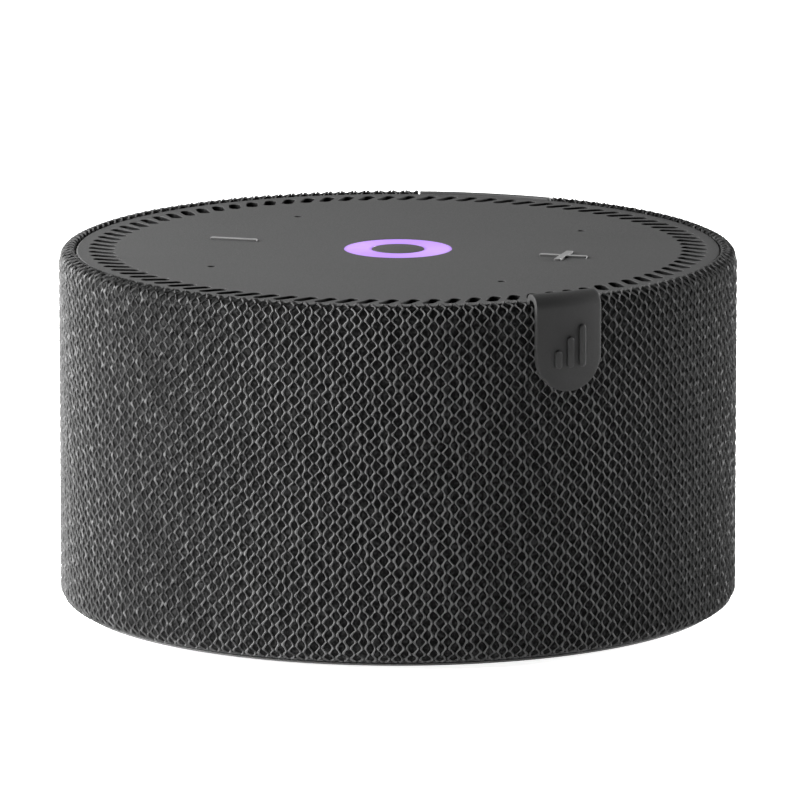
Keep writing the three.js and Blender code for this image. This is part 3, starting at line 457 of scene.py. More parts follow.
def finish(
    name,
    colour,
    roughness,
    metallic=0.0,
    shade=0.15,
    cloud=160.0,
    grain=3500.0,
    grain_depth=0.012 * MM,
    wear=0.35,
    stretch=None,
    shine=0.3,
):
    """A worked surface: cloudy tone, fine grain, uneven gloss and edges lightened where worn."""
    material, tree, shader, where = new_finish(name)
    clouds = noise(tree, where, cloud, 4.0)
    fine = noise(tree, where, grain, 3.0, stretch)
    dark = tuple(c * (1 - shade) for c in colour)
    light = tuple(min(1.0, c * (1 + shade)) for c in colour)
    tone = mixed(tree, spread(tree, clouds), dark, light)
    geometry = tree.nodes.new("ShaderNodeNewGeometry")
    edge_wear_and_highlight = ranged(tree, geometry.outputs["Pointiness"], 0.53, 0.62, 0.0, wear)
    worn = tuple(min(1.0, c * 1.8 + 0.02) for c in colour)
    tree.links.new(mixed(tree, edge_wear_and_highlight, tone, worn), shader.inputs["Base Color"])
    low, high = max(0.02, roughness - ROUGH_RANGE), min(1.0, roughness + ROUGH_RANGE)
    tree.links.new(spread(tree, fine, low, high), shader.inputs["Roughness"])
    shader.inputs["Metallic"].default_value = metallic
    shader.inputs["Specular IOR Level"].default_value = shine
    bumped(tree, shader, fine, grain_depth)
    return material


def plate_finish():
    """Satin plate with fine sparkle, a lighter outer edge that is part worn and part painted highlight,
    and painted shade, near black, inside its slots and holes.
    """
    material, tree, shader, where = new_finish("satin_plate")
    clouds = noise(tree, where, 45.0, 3.0)
    spark = noise(tree, where, 6200.0, 2.0)
    crumbs = noise(tree, where, 3100.0, 3.0)
    tone = mixed(tree, spread(tree, clouds), grey(0.034), grey(0.037))
    speck = ranged(tree, crumbs, 0.42, 0.66, 0.0, 1.0)
    tone = mixed(tree, speck, tone, grey(0.044))
    x, y, z = split(tree, where)
    radius = reckoned(tree, "SQRT", squares(tree, x, y)[2])
    # Painted highlight: a lighter grey ring along the outer edge, partly worn plastic and partly standing
    # in for the light that the rounded edge catches.
    edge_wear_and_highlight = ranged(tree, radius, PLATE_R - 0.3 * MM, PLATE_R - 0.14 * MM, 0.0, 0.7)
    tone = mixed(tree, edge_wear_and_highlight, tone, grey(0.1))
    # Painted shade: below the top face and inside the outer edge the plate goes near black, standing in
    # for the shade down in its slots and holes.
    below = ranged(tree, z, PLATE_TOP - 0.12 * MM, PLATE_TOP - 0.035 * MM, 1.0, 0.0)
    within = ranged(tree, radius, PLATE_R - 0.8 * MM, PLATE_R - 0.6 * MM, 1.0, 0.0)
    painted_slot_shade = reckoned(tree, "MULTIPLY", below, within)
    tree.links.new(mixed(tree, painted_slot_shade, tone, grey(0.003)), shader.inputs["Base Color"])
    tree.links.new(spread(tree, spark, 0.4, 0.56), shader.inputs["Roughness"])
    shader.inputs["Specular IOR Level"].default_value = 0.04
    first = bumped(tree, shader, crumbs, 0.006 * MM)
    bumped(tree, shader, spark, 0.004 * MM, under=first)
    return material


def raised_finish():
    """The raised marks: painted shade on their sides and a paler painted lit top, chosen by which way each
    face points.
    """
    material, tree, shader, where = new_finish("raised_grey")
    grain = noise(tree, where, 4000.0, 3.0)
    geometry = tree.nodes.new("ShaderNodeNewGeometry")
    _, _, upwards = split(tree, geometry.outputs["Normal"])
    # Painted light and shade: faces pointing up take the paler grey as a painted lit top, faces on the
    # sides the dark grey as painted shade.
    top = ranged(tree, upwards, 0.6, 0.9, 0.0, 1.0)
    painted_lit_top = mixed(tree, spread(tree, grain), grey(0.1), grey(0.13))
    tree.links.new(mixed(tree, top, grey(0.02), painted_lit_top), shader.inputs["Base Color"])
    tree.links.new(spread(tree, grain, 0.4, 0.52), shader.inputs["Roughness"])
    shader.inputs["Specular IOR Level"].default_value = 0.3
    bumped(tree, shader, grain, 0.006 * MM)
    return material


def thread_finish():
    """Dark grey yarn, uneven from stitch to stitch, with matt fibres, and painted shade where it turns in
    over the rim.
    """
    material, tree, shader, where = new_finish("grey_yarn")
    patches = noise(tree, where, 90.0, 3.0)
    stitches = noise(tree, where, 900.0, 2.0)
    fibres = noise(tree, where, 9000.0, 3.0)
    tone = mixed(tree, spread(tree, patches), grey(0.05), grey(0.068))
    tone = mixed(tree, ranged(tree, stitches, 0.35, 0.75, 0.0, 0.55), tone, grey(0.032))
    tone = mixed(tree, ranged(tree, fibres, 0.35, 0.75, 0.0, 0.5), tone, grey(0.09))
    _, _, z = split(tree, where)
    # Painted shade: the yarn goes dark towards the top of the rim, where it turns in beside the plate.
    painted_rim_shade = ranged(tree, z, RIM_TOP - 1.0 * MM, RIM_TOP - 0.2 * MM, 0.0, 0.6)
    tone = mixed(tree, painted_rim_shade, tone, grey(0.012))
    tree.links.new(tone, shader.inputs["Base Color"])
    tree.links.new(spread(tree, fibres, 0.7, 0.95), shader.inputs["Roughness"])
    shader.inputs["Specular IOR Level"].default_value = 0.03
    bumped(tree, shader, fibres, 0.012 * MM)
    return material


def ground_finish():
    """Dark spacer mesh behind the net, mottled where its own fibres catch the light."""
    material, tree, shader, where = new_finish("dark_spacer_mesh")
    tufts = noise(tree, where, 1900.0, 3.0)
    fibres = noise(tree, where, 7000.0, 3.0)
    tone = mixed(tree, ranged(tree, tufts, 0.46, 0.66, 0.0, 1.0), grey(0.002), grey(0.013))
    tree.links.new(tone, shader.inputs["Base Color"])
    tree.links.new(spread(tree, fibres, 0.8, 1.0), shader.inputs["Roughness"])
    shader.inputs["Specular IOR Level"].default_value = 0.05
    first = bumped(tree, shader, tufts, 0.25 * MM)
    bumped(tree, shader, fibres, 0.04 * MM, under=first)
    return material


def lit_ring_finish():
    """Translucent ring lit from below: paler over the left and right lamps, deeper at its edges."""
    material, tree, shader, where = new_finish("lit_violet_lens")
    x, y, _ = split(tree, where)
    xx, yy, square = squares(tree, x, y)
    radius = reckoned(tree, "SQRT", square)
    sideways = reckoned(tree, "DIVIDE", reckoned(tree, "SUBTRACT", xx, yy), square)
    clouds = noise(tree, where, 500.0, 2.0)
    glow = reckoned(tree, "ADD", sideways, spread(tree, clouds, -0.2, 0.2))
    lamp = mixed(tree, ranged(tree, glow, -1.0, 1.0, 0.0, 1.0), (0.50, 0.27, 0.94), (0.60, 0.37, 0.95))
    middle = (RING_OUTER_R + RING_INNER_R) / 2
    half = (RING_OUTER_R - RING_INNER_R) / 2
    off_middle = reckoned(tree, "ABSOLUTE", reckoned(tree, "SUBTRACT", radius, middle))
    rim = ranged(tree, off_middle, half - 0.45 * MM, half, 0.0, 0.55)
    colour = mixed(tree, rim, lamp, (0.28, 0.12, 0.60))
    tree.links.new(colour, shader.inputs["Emission Color"])
    shader.inputs["Emission Strength"].default_value = 0.97
    unlit = mixed(tree, clouds, (0.03, 0.02, 0.05), (0.05, 0.03, 0.08))
    tree.links.new(unlit, shader.inputs["Base Color"])
    tree.links.new(spread(tree, clouds, 0.3, 0.45), shader.inputs["Roughness"])
    return material


FINISHES = {
    "fabric": ground_finish(),
    "structural": finish("moulded_black", grey(0.016), 0.6, grain=2600.0, grain_depth=0.02 * MM),
    "tag_rubber": finish(
        "soft_tag_rubber", grey(0.016), 0.62, shade=0.1, grain=4200.0, grain_depth=0.01 * MM, shine=0.15
    ),
    "plate": plate_finish(),
    "lens": lit_ring_finish(),
    "white_plastic": finish("white_plastic", grey(0.78), 0.35, shade=0.06),
    "board": finish("green_board", (0.012, 0.07, 0.035), 0.45, shade=0.3, cloud=900.0),
    "rubber": finish("black_rubber", grey(0.013), 0.82, grain=3000.0, grain_depth=0.03 * MM),
    "foam": finish("black_foam", grey(0.03), 0.95, shade=0.4, cloud=2500.0, grain_depth=0.1 * MM),
    "steel": finish("bright_steel", (0.46, 0.47, 0.48), 0.3, 1.0, stretch=(1, 1, 12)),
    "black_steel": finish("black_steel", grey(0.018), 0.4, 0.3),
    "ferrite": finish("ferrite", grey(0.032), 0.7, shade=0.3, grain=2200.0, grain_depth=0.04 * MM),
    "copper": finish(
        "wound_copper", (0.55, 0.24, 0.1), 0.35, 0.9, grain=1600.0, stretch=(0.05, 0.05, 2.5)
    ),
    "spider_cloth": finish("resin_cloth", (0.42, 0.25, 0.08), 0.85, shade=0.25, grain_depth=0.06 * MM),
    "cone_paper": finish("cone_paper", grey(0.026), 0.85, shade=0.25, grain=1800.0, grain_depth=0.06 * MM),
    "base_plastic": finish("base_plastic", grey(0.06), 0.55, grain=2400.0, grain_depth=0.025 * MM),
    "screw_steel": finish("screw_steel", (0.3, 0.3, 0.31), 0.32, 1.0, wear=0.6),
    "flex": finish("amber_film", (0.42, 0.17, 0.03), 0.3, shade=0.2, cloud=600.0),
    "panel_plastic": finish(
        "panel_plastic",
        grey(0.03),
        0.56,
        shade=0.05,
        cloud=60.0,
        grain=3000.0,
        grain_depth=0.02 * MM,
        wear=0.0,
        shine=0.1,
    ),
    "port_steel": finish("port_steel", (0.52, 0.53, 0.54), 0.28, 1.0, stretch=(1, 10, 1)),
    "black_plastic": finish("black_plastic", grey(0.012), 0.45),
    "slider_plastic": finish("slider_plastic", (0.11, 0.11, 0.115), 0.5, grain=3000.0),
}
YARN = thread_finish()
RAISED_GREY = raised_finish()


def dress(piece, slot, material=None):
    """Gives the piece its slot's finish, or a finish of its own."""
    piece.data.materials.clear()
    piece.data.materials.append(material or FINISHES[slot])
    return piece


def hand_over(piece, name, slot, nodes=(), body="housing", material=None):
    """Names the piece, gives its finish and the body it moves with, and hides the nodes it stands for."""
    piece.name = name
    dress(piece, slot, material)
    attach(piece, body)
    if nodes:
        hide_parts(*nodes)
    return piece


for part in frame["record"]["subparts"]:
    dress(frame["nodes"][part["node"]], part["material_slot"])


# ---- Skin line that the fabric and the port panel follow ----
SKIN_STEPS = 12  # in each of the two rounded corners
EDGE_TURN = 0.25 * MM  # how softly the skin turns down beside the plate


def skin_line(inset=0.0):
    """(radius, height) points from under the hem, up the drum and down beside the plate."""
    hem_z = HEM_Z + HEM_ROUND
    rim_z = RIM_TOP - RIM_ROUND
    rim_r = DRUM_R - RIM_ROUND
    inner = RIM_INNER_R + inset
    reach = RIM_ROUND - inset
    last = math.degrees(math.acos((inner + EDGE_TURN - rim_r) / reach))
    top = rim_z + reach * math.sin(math.radians(last))
    line = [(HEM_R - 0.5 * MM, HEM_Z + inset)]
    line += arc(HEM_R, hem_z, HEM_ROUND - inset, -90, 0, SKIN_STEPS)
    line += arc(rim_r, rim_z, reach, 0, last, SKIN_STEPS)
    for out, drop in ((0.4, 0.2), (0.1, 0.6), (0.0, 1.3)):
        line.append((inner + EDGE_TURN * out, top - EDGE_TURN * drop))
    line.append((inner, FLAP_LOW))
    return line


def along(line, distance):
    """Radius, height and outward direction at each distance along the line."""
    look = 0.15 * MM
    points = np.array(line)
    steps = np.hypot(*np.diff(points, axis=0).T)
    marks = np.concatenate([[0.0], np.cumsum(steps)])
    distance = np.clip(distance, 0.0, marks[-1])
    radius = np.interp(distance, marks, points[:, 0])
    height = np.interp(distance, marks, points[:, 1])
    ahead = np.clip(distance + look, 0.0, marks[-1])
    behind = np.clip(distance - look, 0.0, marks[-1])
    d_radius = np.interp(ahead, marks, points[:, 0]) - np.interp(behind, marks, points[:, 0])
    d_height = np.interp(ahead, marks, points[:, 1]) - np.interp(behind, marks, points[:, 1])
    size = np.hypot(d_radius, d_height)
    return radius, height, d_height / size, -d_radius / size


def length_of(line):
    return float(np.hypot(*np.diff(np.array(line), axis=0).T).sum())


# The room beside the plate where the tag comes up through the fabric, drawn in the tag's direction
PASSAGE_LOW = (45.4 * MM, -5.45 * MM, 50.1 * MM)
PASSAGE_HIGH = (47.72 * MM, 5.45 * MM, 54.0 * MM)
NET_CLEAR_R = 47.95 * MM
NET_CLEAR_HALF = 5.6 * MM
NET_CLEAR_LOW = 50.0 * MM


def tag_passage():
    tool = block("passage", PASSAGE_LOW, PASSAGE_HIGH)
    tool.rotation_euler.z = TAG_ANGLE
    return settle(tool)


def in_tag_room(places):
    """Which points of the net lie where the tag comes up."""
    c, s = math.cos(-TAG_ANGLE), math.sin(-TAG_ANGLE)
    outwards = places[:, 0] * c - places[:, 1] * s
    across = places[:, 0] * s + places[:, 1] * c
    near = (outwards > 0) & (outwards < NET_CLEAR_R)
    return near & (np.abs(across) < NET_CLEAR_HALF) & (places[:, 2] > NET_CLEAR_LOW)


# ---- Fabric ----
GROUND_INSET = 0.26 * MM
GROUND_T = 0.3 * MM
RIM_FILL = 0.13 * MM
FABRIC_START = math.pi / 2 + OPENING_HALF
FABRIC_SWEEP = 2 * math.pi - 2 * OPENING_HALF


def filled_rim(line):
    """The mesh behind the net, pushed up close under the net where it turns over the rim."""
    start = RIM_TOP - RIM_ROUND
    return [(r, z + RIM_FILL * min(max((z - start) / RIM_ROUND, 0.0), 1.0)) for r, z in line]


outer_line = filled_rim(skin_line(GROUND_INSET))
inner_line = filled_rim(skin_line(GROUND_INSET + GROUND_T))
ground = spun("fabric_ground", outer_line + inner_line[::-1], 216, FABRIC_START, FABRIC_SWEEP)
cut_away(ground, tag_passage())
smooth(ground, 50)

PAIRS_PER_SWATCH = 48
SWATCHES = 3
PAIR_WIDTH = DRUM_R * FABRIC_SWEEP / (PAIRS_PER_SWATCH * SWATCHES)
SKIN = skin_line(0.0)
SKIN_LENGTH = length_of(SKIN)
ROWS = 31
ROW_HEIGHT = SKIN_LENGTH / ROWS
THREAD_HALF = 0.15 * MM
THREAD_DEPTH = 0.15 * MM
NET_INSET = 0.19 * MM
RIM_INSET = 0.08 * MM
SWAY = 0.27 * MM
BELLY = 0.06 * MM
RIDE_OVER = 0.05 * MM
RIM_STARTS = 51.5 * MM  # along the skin line
RIM_BLEND = 2.0 * MM
THREAD_PATH = [  # share of the row, sideways, outwards, width
    (0.0, -BELLY, RIDE_OVER, 1.0),
    (0.18, SWAY - 0.02 * MM, RIDE_OVER, 1.25),
    (0.32, SWAY, -RIDE_OVER, 1.3),
    (0.5, BELLY, -RIDE_OVER, 1.0),
    (0.68, -SWAY + 0.02 * MM, -RIDE_OVER, 1.25),
    (0.82, -SWAY, RIDE_OVER, 1.3),
    (1.0, -BELLY, RIDE_OVER, 1.0),
]


def thread(name, place, mirror):
    """One thread for one row: a flattened ring drawn upwards along its swaying path."""
    bpy.ops.mesh.primitive_circle_add(vertices=4, radius=1.0, location=(0, 0, 0))
    piece = bpy.context.object
    piece.name = name
    piece.scale = (THREAD_HALF, THREAD_DEPTH, 1)
    piece.location = (place + mirror * THREAD_PATH[0][1], THREAD_PATH[0][2], 0)
    settle(piece)
    with editing(piece):
        for here, there in zip(THREAD_PATH, THREAD_PATH[1:]):
            step = (
                mirror * (there[1] - here[1]),
                there[2] - here[2],
                (there[0] - here[0]) * ROW_HEIGHT,
            )
            bpy.ops.mesh.extrude_region_move(TRANSFORM_OT_translate={"value": step})
            swell = there[3] / here[3]
            middle = (place + mirror * there[1], there[2], there[0] * ROW_HEIGHT)
            bpy.ops.transform.resize(value=(swell, swell, 1), center_override=middle)
    return piece


stitch = one_piece(
    "stitch",
    thread("stitch_a", PAIR_WIDTH * 0.25, 1),
    thread("stitch_b", PAIR_WIDTH * 0.75, -1),
)
for count, offset in ((ROWS, (0, 0, ROW_HEIGHT)), (PAIRS_PER_SWATCH, (PAIR_WIDTH, 0, 0))):
    repeat = stitch.modifiers.new("repeat", "ARRAY")
    repeat.count = count
    repeat.use_relative_offset = False
    repeat.use_constant_offset = True
    repeat.constant_offset_displace = offset
    repeat.use_merge_vertices = True
    repeat.merge_threshold = WELD
    apply_all(stitch)
with editing(stitch):
    bpy.ops.mesh.remove_doubles(threshold=WELD)

waves = np.random.default_rng(11)
WANDER = [
    (waves.uniform(60, 900), waves.uniform(60, 900), waves.uniform(0, 2 * math.pi)) for _ in range(28)
]


def wander(across, up, which):
    """Slow and quick unevenness of the knit, in metres."""
    total = np.zeros_like(across)
    for a, b, phase in WANDER[which::2]:
        total += np.sin(across * a + up * b * (-1 if which else 1) + phase)
    return total / len(WANDER[which::2])


def on_the_skin(flat, first_across):
    """Where the points of a flat swatch of net (across, outwards, up) lie on the hub."""
    across = flat[:, 0] + first_across
    up = flat[:, 2]
    on_rim = np.clip((up - RIM_STARTS) / RIM_BLEND, 0, 1)
    lift = flat[:, 1] - NET_INSET + (NET_INSET - RIM_INSET) * on_rim
    quick = np.sin(across * 1900.0 + up * 900.0) * np.sin(across * 700.0 - up * 2100.0)
    quicker = np.sin(across * 2900.0 - up * 1300.0) * np.sin(across * 1100.0 + up * 2700.0)
    shift = wander(across, up, 0) * 0.3 * MM + quick * 0.08 * MM + quicker * 0.07 * MM
    rise = wander(across, up, 1) * 0.3 * MM + quick * 0.07 * MM - quicker * 0.08 * MM
    up = np.clip(up + rise * np.sin(math.pi * up / SKIN_LENGTH), 0, None)
    radius, height, out_r, out_z = along(SKIN, up)
    angle = FABRIC_START + (across + shift) / DRUM_R
    radius = radius + lift * out_r
    return np.column_stack([radius * np.cos(angle), radius * np.sin(angle), height + lift * out_z])


def without(net, chosen):
    """Takes the chosen points out of the net and closes the ends of its threads."""
    with editing(net, "DESELECT"):
        bpy.ops.mesh.select_mode(type="VERT")
    net.data.vertices.foreach_set("select", chosen)
    with editing(net, None):
        if chosen.any():
            bpy.ops.mesh.delete(type="VERT")
        bpy.ops.mesh.select_all(action="SELECT")
        bpy.ops.mesh.fill_holes(sides=4)
    return face_out(net)


flat_places = vertices_of(stitch).copy()
for swatch in range(SWATCHES):
    net = copy_of(stitch, f"fabric_net_{swatch + 1}")
    places = on_the_skin(flat_places, swatch * PAIRS_PER_SWATCH * PAIR_WIDTH)
    set_vertices(net, places)
    smooth(without(net, in_tag_room(places)), 80, even=False)
    hand_over(net, net.name, "fabric", material=YARN)
bpy.data.objects.remove(stitch)

hand_over(ground, "fabric_ground", "fabric", ["fabric_sleeve"])

# ---- Top plate ----
loops = [circle(PLATE_R, 2 * ROUND_STEPS)]
for k in range(SLOT_COUNT):
    angle = 2 * math.pi * k / SLOT_COUNT + SLOT_PHASE
    loops.append(capsule(SLOT_LENGTH, SLOT_WIDTH, 10, *on_ring(SLOT_RING_R, angle), angle - SLOT_LEAN))
for k in range(4):
    loops.append(circle(MIC_HOLE_R, 20, *on_ring(MIC_RING_R, math.pi / 4 + k * math.pi / 2)))
loops.append(circle(RING_OUTER_R + 0.06 * MM, 128))
plate = cut_sheet("plate_disc", loops, PLATE_LOW, PLATE_TOP)
near_top = PLATE_TOP - 0.01 * MM
ease_ring(plate, PLATE_R - 0.1 * MM, PLATE_R + 1 * MM, near_top, width=0.26 * MM, rounds=3)
ease_ring(plate, 10 * MM, PLATE_R - 1 * MM, near_top, width=0.035 * MM, rounds=1)
smooth(plate, 21, even=False)
flatten_top(plate, near_top)


def mark(name, cx, is_plus):
    """A raised plus or minus, its centre that far to the right of the hub's axis."""
    half, wide = MARK_LENGTH / 2, MARK_WIDTH / 2
    if is_plus:
        corners = [
            (half, -wide), (half, wide), (wide, wide), (wide, half), (-wide, half), (-wide, wide),
            (-half, wide), (-half, -wide), (-wide, -wide), (-wide, -half), (wide, -half), (wide, -wide),
        ]
    else:
        corners = [(half, -wide), (half, wide), (-half, wide), (-half, -wide)]
    outline = [(x + cx, y) for x, y in eased(corners, 0.14 * MM)]
    return smooth(cut_sheet(name, [outline], PLATE_TOP - 0.4 * MM, plate_high.z, edge=0.07 * MM))


POST_BORE_R = 1.0 * MM
POST_R = 2.3 * MM
POST_TOP = PLATE_LOW + 0.4 * MM
post_profile = [
    (POST_BORE_R, plate_low.z),
    (POST_R, plate_low.z),
    (POST_R, POST_TOP),
    (POST_BORE_R, POST_TOP),
]
posts = []
for k in range(3):
    post = smooth(spun("post", eased(post_profile, 0.15 * MM), 24))
    post.location = (*on_ring(POST_RING_R, math.pi / 2 + k * 2 * math.pi / 3), 0)
    posts.append(settle(post))
plate = one_piece("plate", plate, *posts)
hand_over(plate, "touch_plate", "plate", ["top_plate"])
hand_over(mark("mark_plus", MARK_RING_R, True), "plus_mark", "plate", material=RAISED_GREY)
hand_over(mark("mark_minus", -MARK_RING_R, False), "minus_mark", "plate", material=RAISED_GREY)

# ---- Lit ring and its middle cap ----
flange_r = lens_high.x
lens_profile = [
    (RING_INNER_R, lens_low.z),
    (flange_r, lens_low.z),
    (flange_r, PLATE_LOW - 0.1 * MM),
    (RING_OUTER_R, PLATE_LOW - 0.1 * MM),
    (RING_OUTER_R, PLATE_TOP - 0.03 * MM),
    (RING_INNER_R, PLATE_TOP - 0.03 * MM),
]
lens = smooth(spun("lens", eased(lens_profile, 0.06 * MM), 128))
hand_over(lens, "lit_ring", "lens", ["ring_lens"])
CAP_STEM_R = cap_high.x - 1.2 * MM
CAP_ROUND = 0.13 * MM
cap_profile = [(0.0, cap_low.z), (CAP_STEM_R, cap_low.z), (CAP_STEM_R, PLATE_LOW), (cap_high.x, PLATE_LOW)]
cap_profile += arc(cap_high.x - CAP_ROUND, PLATE_TOP - CAP_ROUND, CAP_ROUND, 0, 90, 4)
cap_profile += [(0.0, PLATE_TOP)]
cap = smooth(spun("cap", cap_profile, 96))
hand_over(cap, "ring_middle", "plate", ["ring_cap"])

# ---- Soft tag ----
TAG_MID_R = DRUM_R + 0.3 * MM + TAG_T / 2
TAG_LEG_R = PLATE_R + 0.2 * MM + TAG_T / 2
TAG_CREST = tag_high.z - TAG_T / 2
TAG_OUT_ROUND = 1.45 * MM
TAG_IN_ROUND = 0.75 * MM
TAG_LEG_LOW = 50.42 * MM
tag_line = [(TAG_MID_R, tag_low.z), (TAG_MID_R, TAG_CREST - TAG_OUT_ROUND)]
tag_line += arc(TAG_MID_R - TAG_OUT_ROUND, TAG_CREST - TAG_OUT_ROUND, TAG_OUT_ROUND, 0, 90, 10)[1:]
tag_line += arc(TAG_LEG_R + TAG_IN_ROUND, TAG_CREST - TAG_IN_ROUND, TAG_IN_ROUND, 90, 180, 8)
tag_line += [(TAG_LEG_R, TAG_LEG_LOW)]
TAG_LENGTH = length_of(tag_line)
ROUND_ROWS = 14
STRAIGHT_ROWS = 46
bpy.ops.mesh.primitive_grid_add(x_subdivisions=26, y_subdivisions=ROUND_ROWS + STRAIGHT_ROWS, size=2)
tag = bpy.context.object
tag.name = "tag_strip"
grid = vertices_of(tag).copy()
side = grid[:, 0]
row = (grid[:, 1] + 1) / 2 * (ROUND_ROWS + STRAIGHT_ROWS)
in_round = row < ROUND_ROWS
down = np.where(in_round, 1 - row / ROUND_ROWS, 0.0)
strip_x = np.where(in_round, side * np.sqrt(1 - down**2 / 2), side) * TAG_HALF
strip_y = np.where(
    in_round,
    TAG_HALF - down * np.sqrt(1 - side**2 / 2) * TAG_HALF,
    TAG_HALF + (row - ROUND_ROWS) / STRAIGHT_ROWS * (TAG_LENGTH - TAG_HALF),
)
set_vertices(tag, np.column_stack([strip_x, strip_y, np.zeros(len(grid))]))
thick = tag.modifiers.new("thickness", "SOLIDIFY")
thick.thickness = TAG_T
thick.offset = 0.0
apply_all(tag)
eased_edges(tag, 0.22 * MM, 60, 3)


def bend_over_rim(piece):
    """Carries a flat strip (across, along, outwards) over the rim and around the drum."""
    places = vertices_of(piece)
    radius, height, out_r, out_z = along(tag_line, places[:, 1])
    radius = radius + places[:, 2] * out_r
    height = height + places[:, 2] * out_z
    angle = TAG_ANGLE + places[:, 0] / TAG_MID_R
    set_vertices(piece, np.column_stack([radius * np.cos(angle), radius * np.sin(angle), height]))
    return face_out(piece)


BAR_HEIGHTS = [2.6 * MM, 4.4 * MM, 6.0 * MM]
BAR_WIDTH = 1.0 * MM
BAR_PITCH = 1.9 * MM
BARS_LOW = 3.4 * MM  # up from the tag's round end
bars = []
for k, tall in enumerate(BAR_HEIGHTS):
    outline = capsule(tall, BAR_WIDTH, 8, (k - 1) * BAR_PITCH, BARS_LOW + tall / 2, math.pi / 2)
    bar = cut_sheet(f"bar_{k}", [outline], TAG_T / 2 - 0.25 * MM, TAG_T / 2 + 0.4 * MM, edge=0.11 * MM)
    bars.append(bend_over_rim(bar))
bend_over_rim(tag)
tag = smooth(one_piece("tag_loop", tag, *bars), 50)
hand_over(tag, "soft_tag", "tag_rubber", ["tag"])

# ---- Base, foot ring and screws ----
BASE_R = base_high.x
STEP_R = BASE_R - 0.7 * MM
BASE_BOTTOM = base_low.z
BAND_TOP = HEM_Z - 0.1 * MM
BASE_TOP = 3.2 * MM
FLOOR_TOP = BASE_BOTTOM + 1.85 * MM
FOOT_OUT_R = foot_high.x
FOOT_IN_R = FOOT_OUT_R - 7.0 * MM
FOOT_TOP = foot_high.z
SCREW_RING_R = FOOT_IN_R - 4.0 * MM
base_profile = [
    (0.0, BASE_BOTTOM + 0.15 * MM),
    (24.0 * MM, BASE_BOTTOM + 0.15 * MM),
    (24.2 * MM, BASE_BOTTOM),
    (FOOT_IN_R - 0.25 * MM, BASE_BOTTOM),
    (FOOT_IN_R - 0.2 * MM, BASE_BOTTOM + 0.1 * MM),
    (FOOT_IN_R - 0.2 * MM, FOOT_TOP + 0.1 * MM),
    (FOOT_OUT_R + 0.2 * MM, FOOT_TOP + 0.1 * MM),
    (FOOT_OUT_R + 0.2 * MM, BASE_BOTTOM + 0.1 * MM),
    (FOOT_OUT_R + 0.25 * MM, BASE_BOTTOM),
    (BASE_R - 0.2 * MM, BASE_BOTTOM),
    (BASE_R - 0.06 * MM, BASE_BOTTOM + 0.06 * MM),
    (BASE_R, BASE_BOTTOM + 0.2 * MM),
    (BASE_R, BAND_TOP - 0.05 * MM),
    (BASE_R - 0.05 * MM, BAND_TOP),
    (STEP_R, BAND_TOP),
    (STEP_R, BASE_TOP),
    (STEP_R - 1.5 * MM, BASE_TOP),
    (STEP_R - 1.5 * MM, FLOOR_TOP),
    (0.0, FLOOR_TOP),
]
base = spun("base", base_profile, ROUND_STEPS)
BOSS_R = 4.1 * MM
RECESS_R = 3.0 * MM
RECESS_TOP = 2.25 * MM
CLEARANCE_R = 1.6 * MM
screw_places = [on_ring(SCREW_RING_R, math.radians(45 + 90 * k)) for k in range(4)]
bosses = []
for x, y in screw_places:
    boss = cut_sheet("boss", [circle(BOSS_R, 32, x, y)], FLOOR_TOP - 1 * MM, base_high.z, 0.1 * MM)
    bosses.append(boss)
grown(base, *bosses)
tools = []
for x, y in screw_places:
    tools.append(cut_sheet("recess", [circle(RECESS_R, 40, x, y)], -1 * MM, RECESS_TOP))
    tools.append(cut_sheet("clearance", [circle(CLEARANCE_R, 24, x, y)], 1 * MM, 6 * MM))
cut_away(base, *tools)
smooth(eased_edges(base, 0.06 * MM, 55, 2), 35)
hand_over(base, "base_tray", "base_plastic", ["base_plate"])

foot_profile = [(FOOT_IN_R, FOOT_TOP), (FOOT_IN_R, 0.12 * MM), (FOOT_IN_R + 0.12 * MM, 0.0)]
RIDGES = 5
ridge_pitch = (FOOT_OUT_R - FOOT_IN_R - 1.6 * MM) / RIDGES
for k in range(RIDGES):
    start = FOOT_IN_R + 0.8 * MM + k * ridge_pitch
    foot_profile += [
        (start, 0.0),
        (start + 0.12 * MM, 0.14 * MM),
        (start + 0.5 * MM, 0.14 * MM),
        (start + 0.62 * MM, 0.0),
    ]
foot_profile += [(FOOT_OUT_R - 0.12 * MM, 0.0), (FOOT_OUT_R, 0.12 * MM), (FOOT_OUT_R, FOOT_TOP)]
foot = smooth(spun("foot", foot_profile, ROUND_STEPS), 40)
hand_over(foot, "rubber_foot", "rubber", ["foot_ring"])

HEAD_TOP = 0.75 * MM
HEAD_UNDER = HEAD_TOP + 1.4 * MM
HEAD_R = 2.7 * MM
HEAD_ROUND = 0.4 * MM
THREAD_R = 1.3 * MM
ROOT_R = 1.05 * MM
THREAD_PITCH = 0.6 * MM
screw_profile = [(0.0, HEAD_TOP)]
screw_profile += arc(HEAD_R - HEAD_ROUND, HEAD_TOP + HEAD_ROUND, HEAD_ROUND, -90, 0, 4)
screw_profile += [(HEAD_R, HEAD_UNDER), (THREAD_R, HEAD_UNDER)]
turn_z = HEAD_UNDER + THREAD_PITCH
while turn_z < screw_high.z - 2.0 * MM:
    screw_profile += [(THREAD_R, turn_z), (ROOT_R, turn_z + 0.25 * MM), (THREAD_R, turn_z + 0.5 * MM)]
    turn_z += THREAD_PITCH
screw_profile += [(ROOT_R, screw_high.z - 1.2 * MM), (0.0, screw_high.z)]
screw = spun("screw", screw_profile, 40)
wing, groove = 1.55 * MM, 0.33 * MM
cross = [
    block("slot_a", (-wing, -groove, 0), (wing, groove, HEAD_TOP + 0.8 * MM)),
    block("slot_b", (-groove, -wing, 0), (groove, wing, HEAD_TOP + 0.8 * MM)),
]
cut_away(screw, *cross)
smooth(eased_edges(screw, 0.05 * MM, 50, 2), 40)
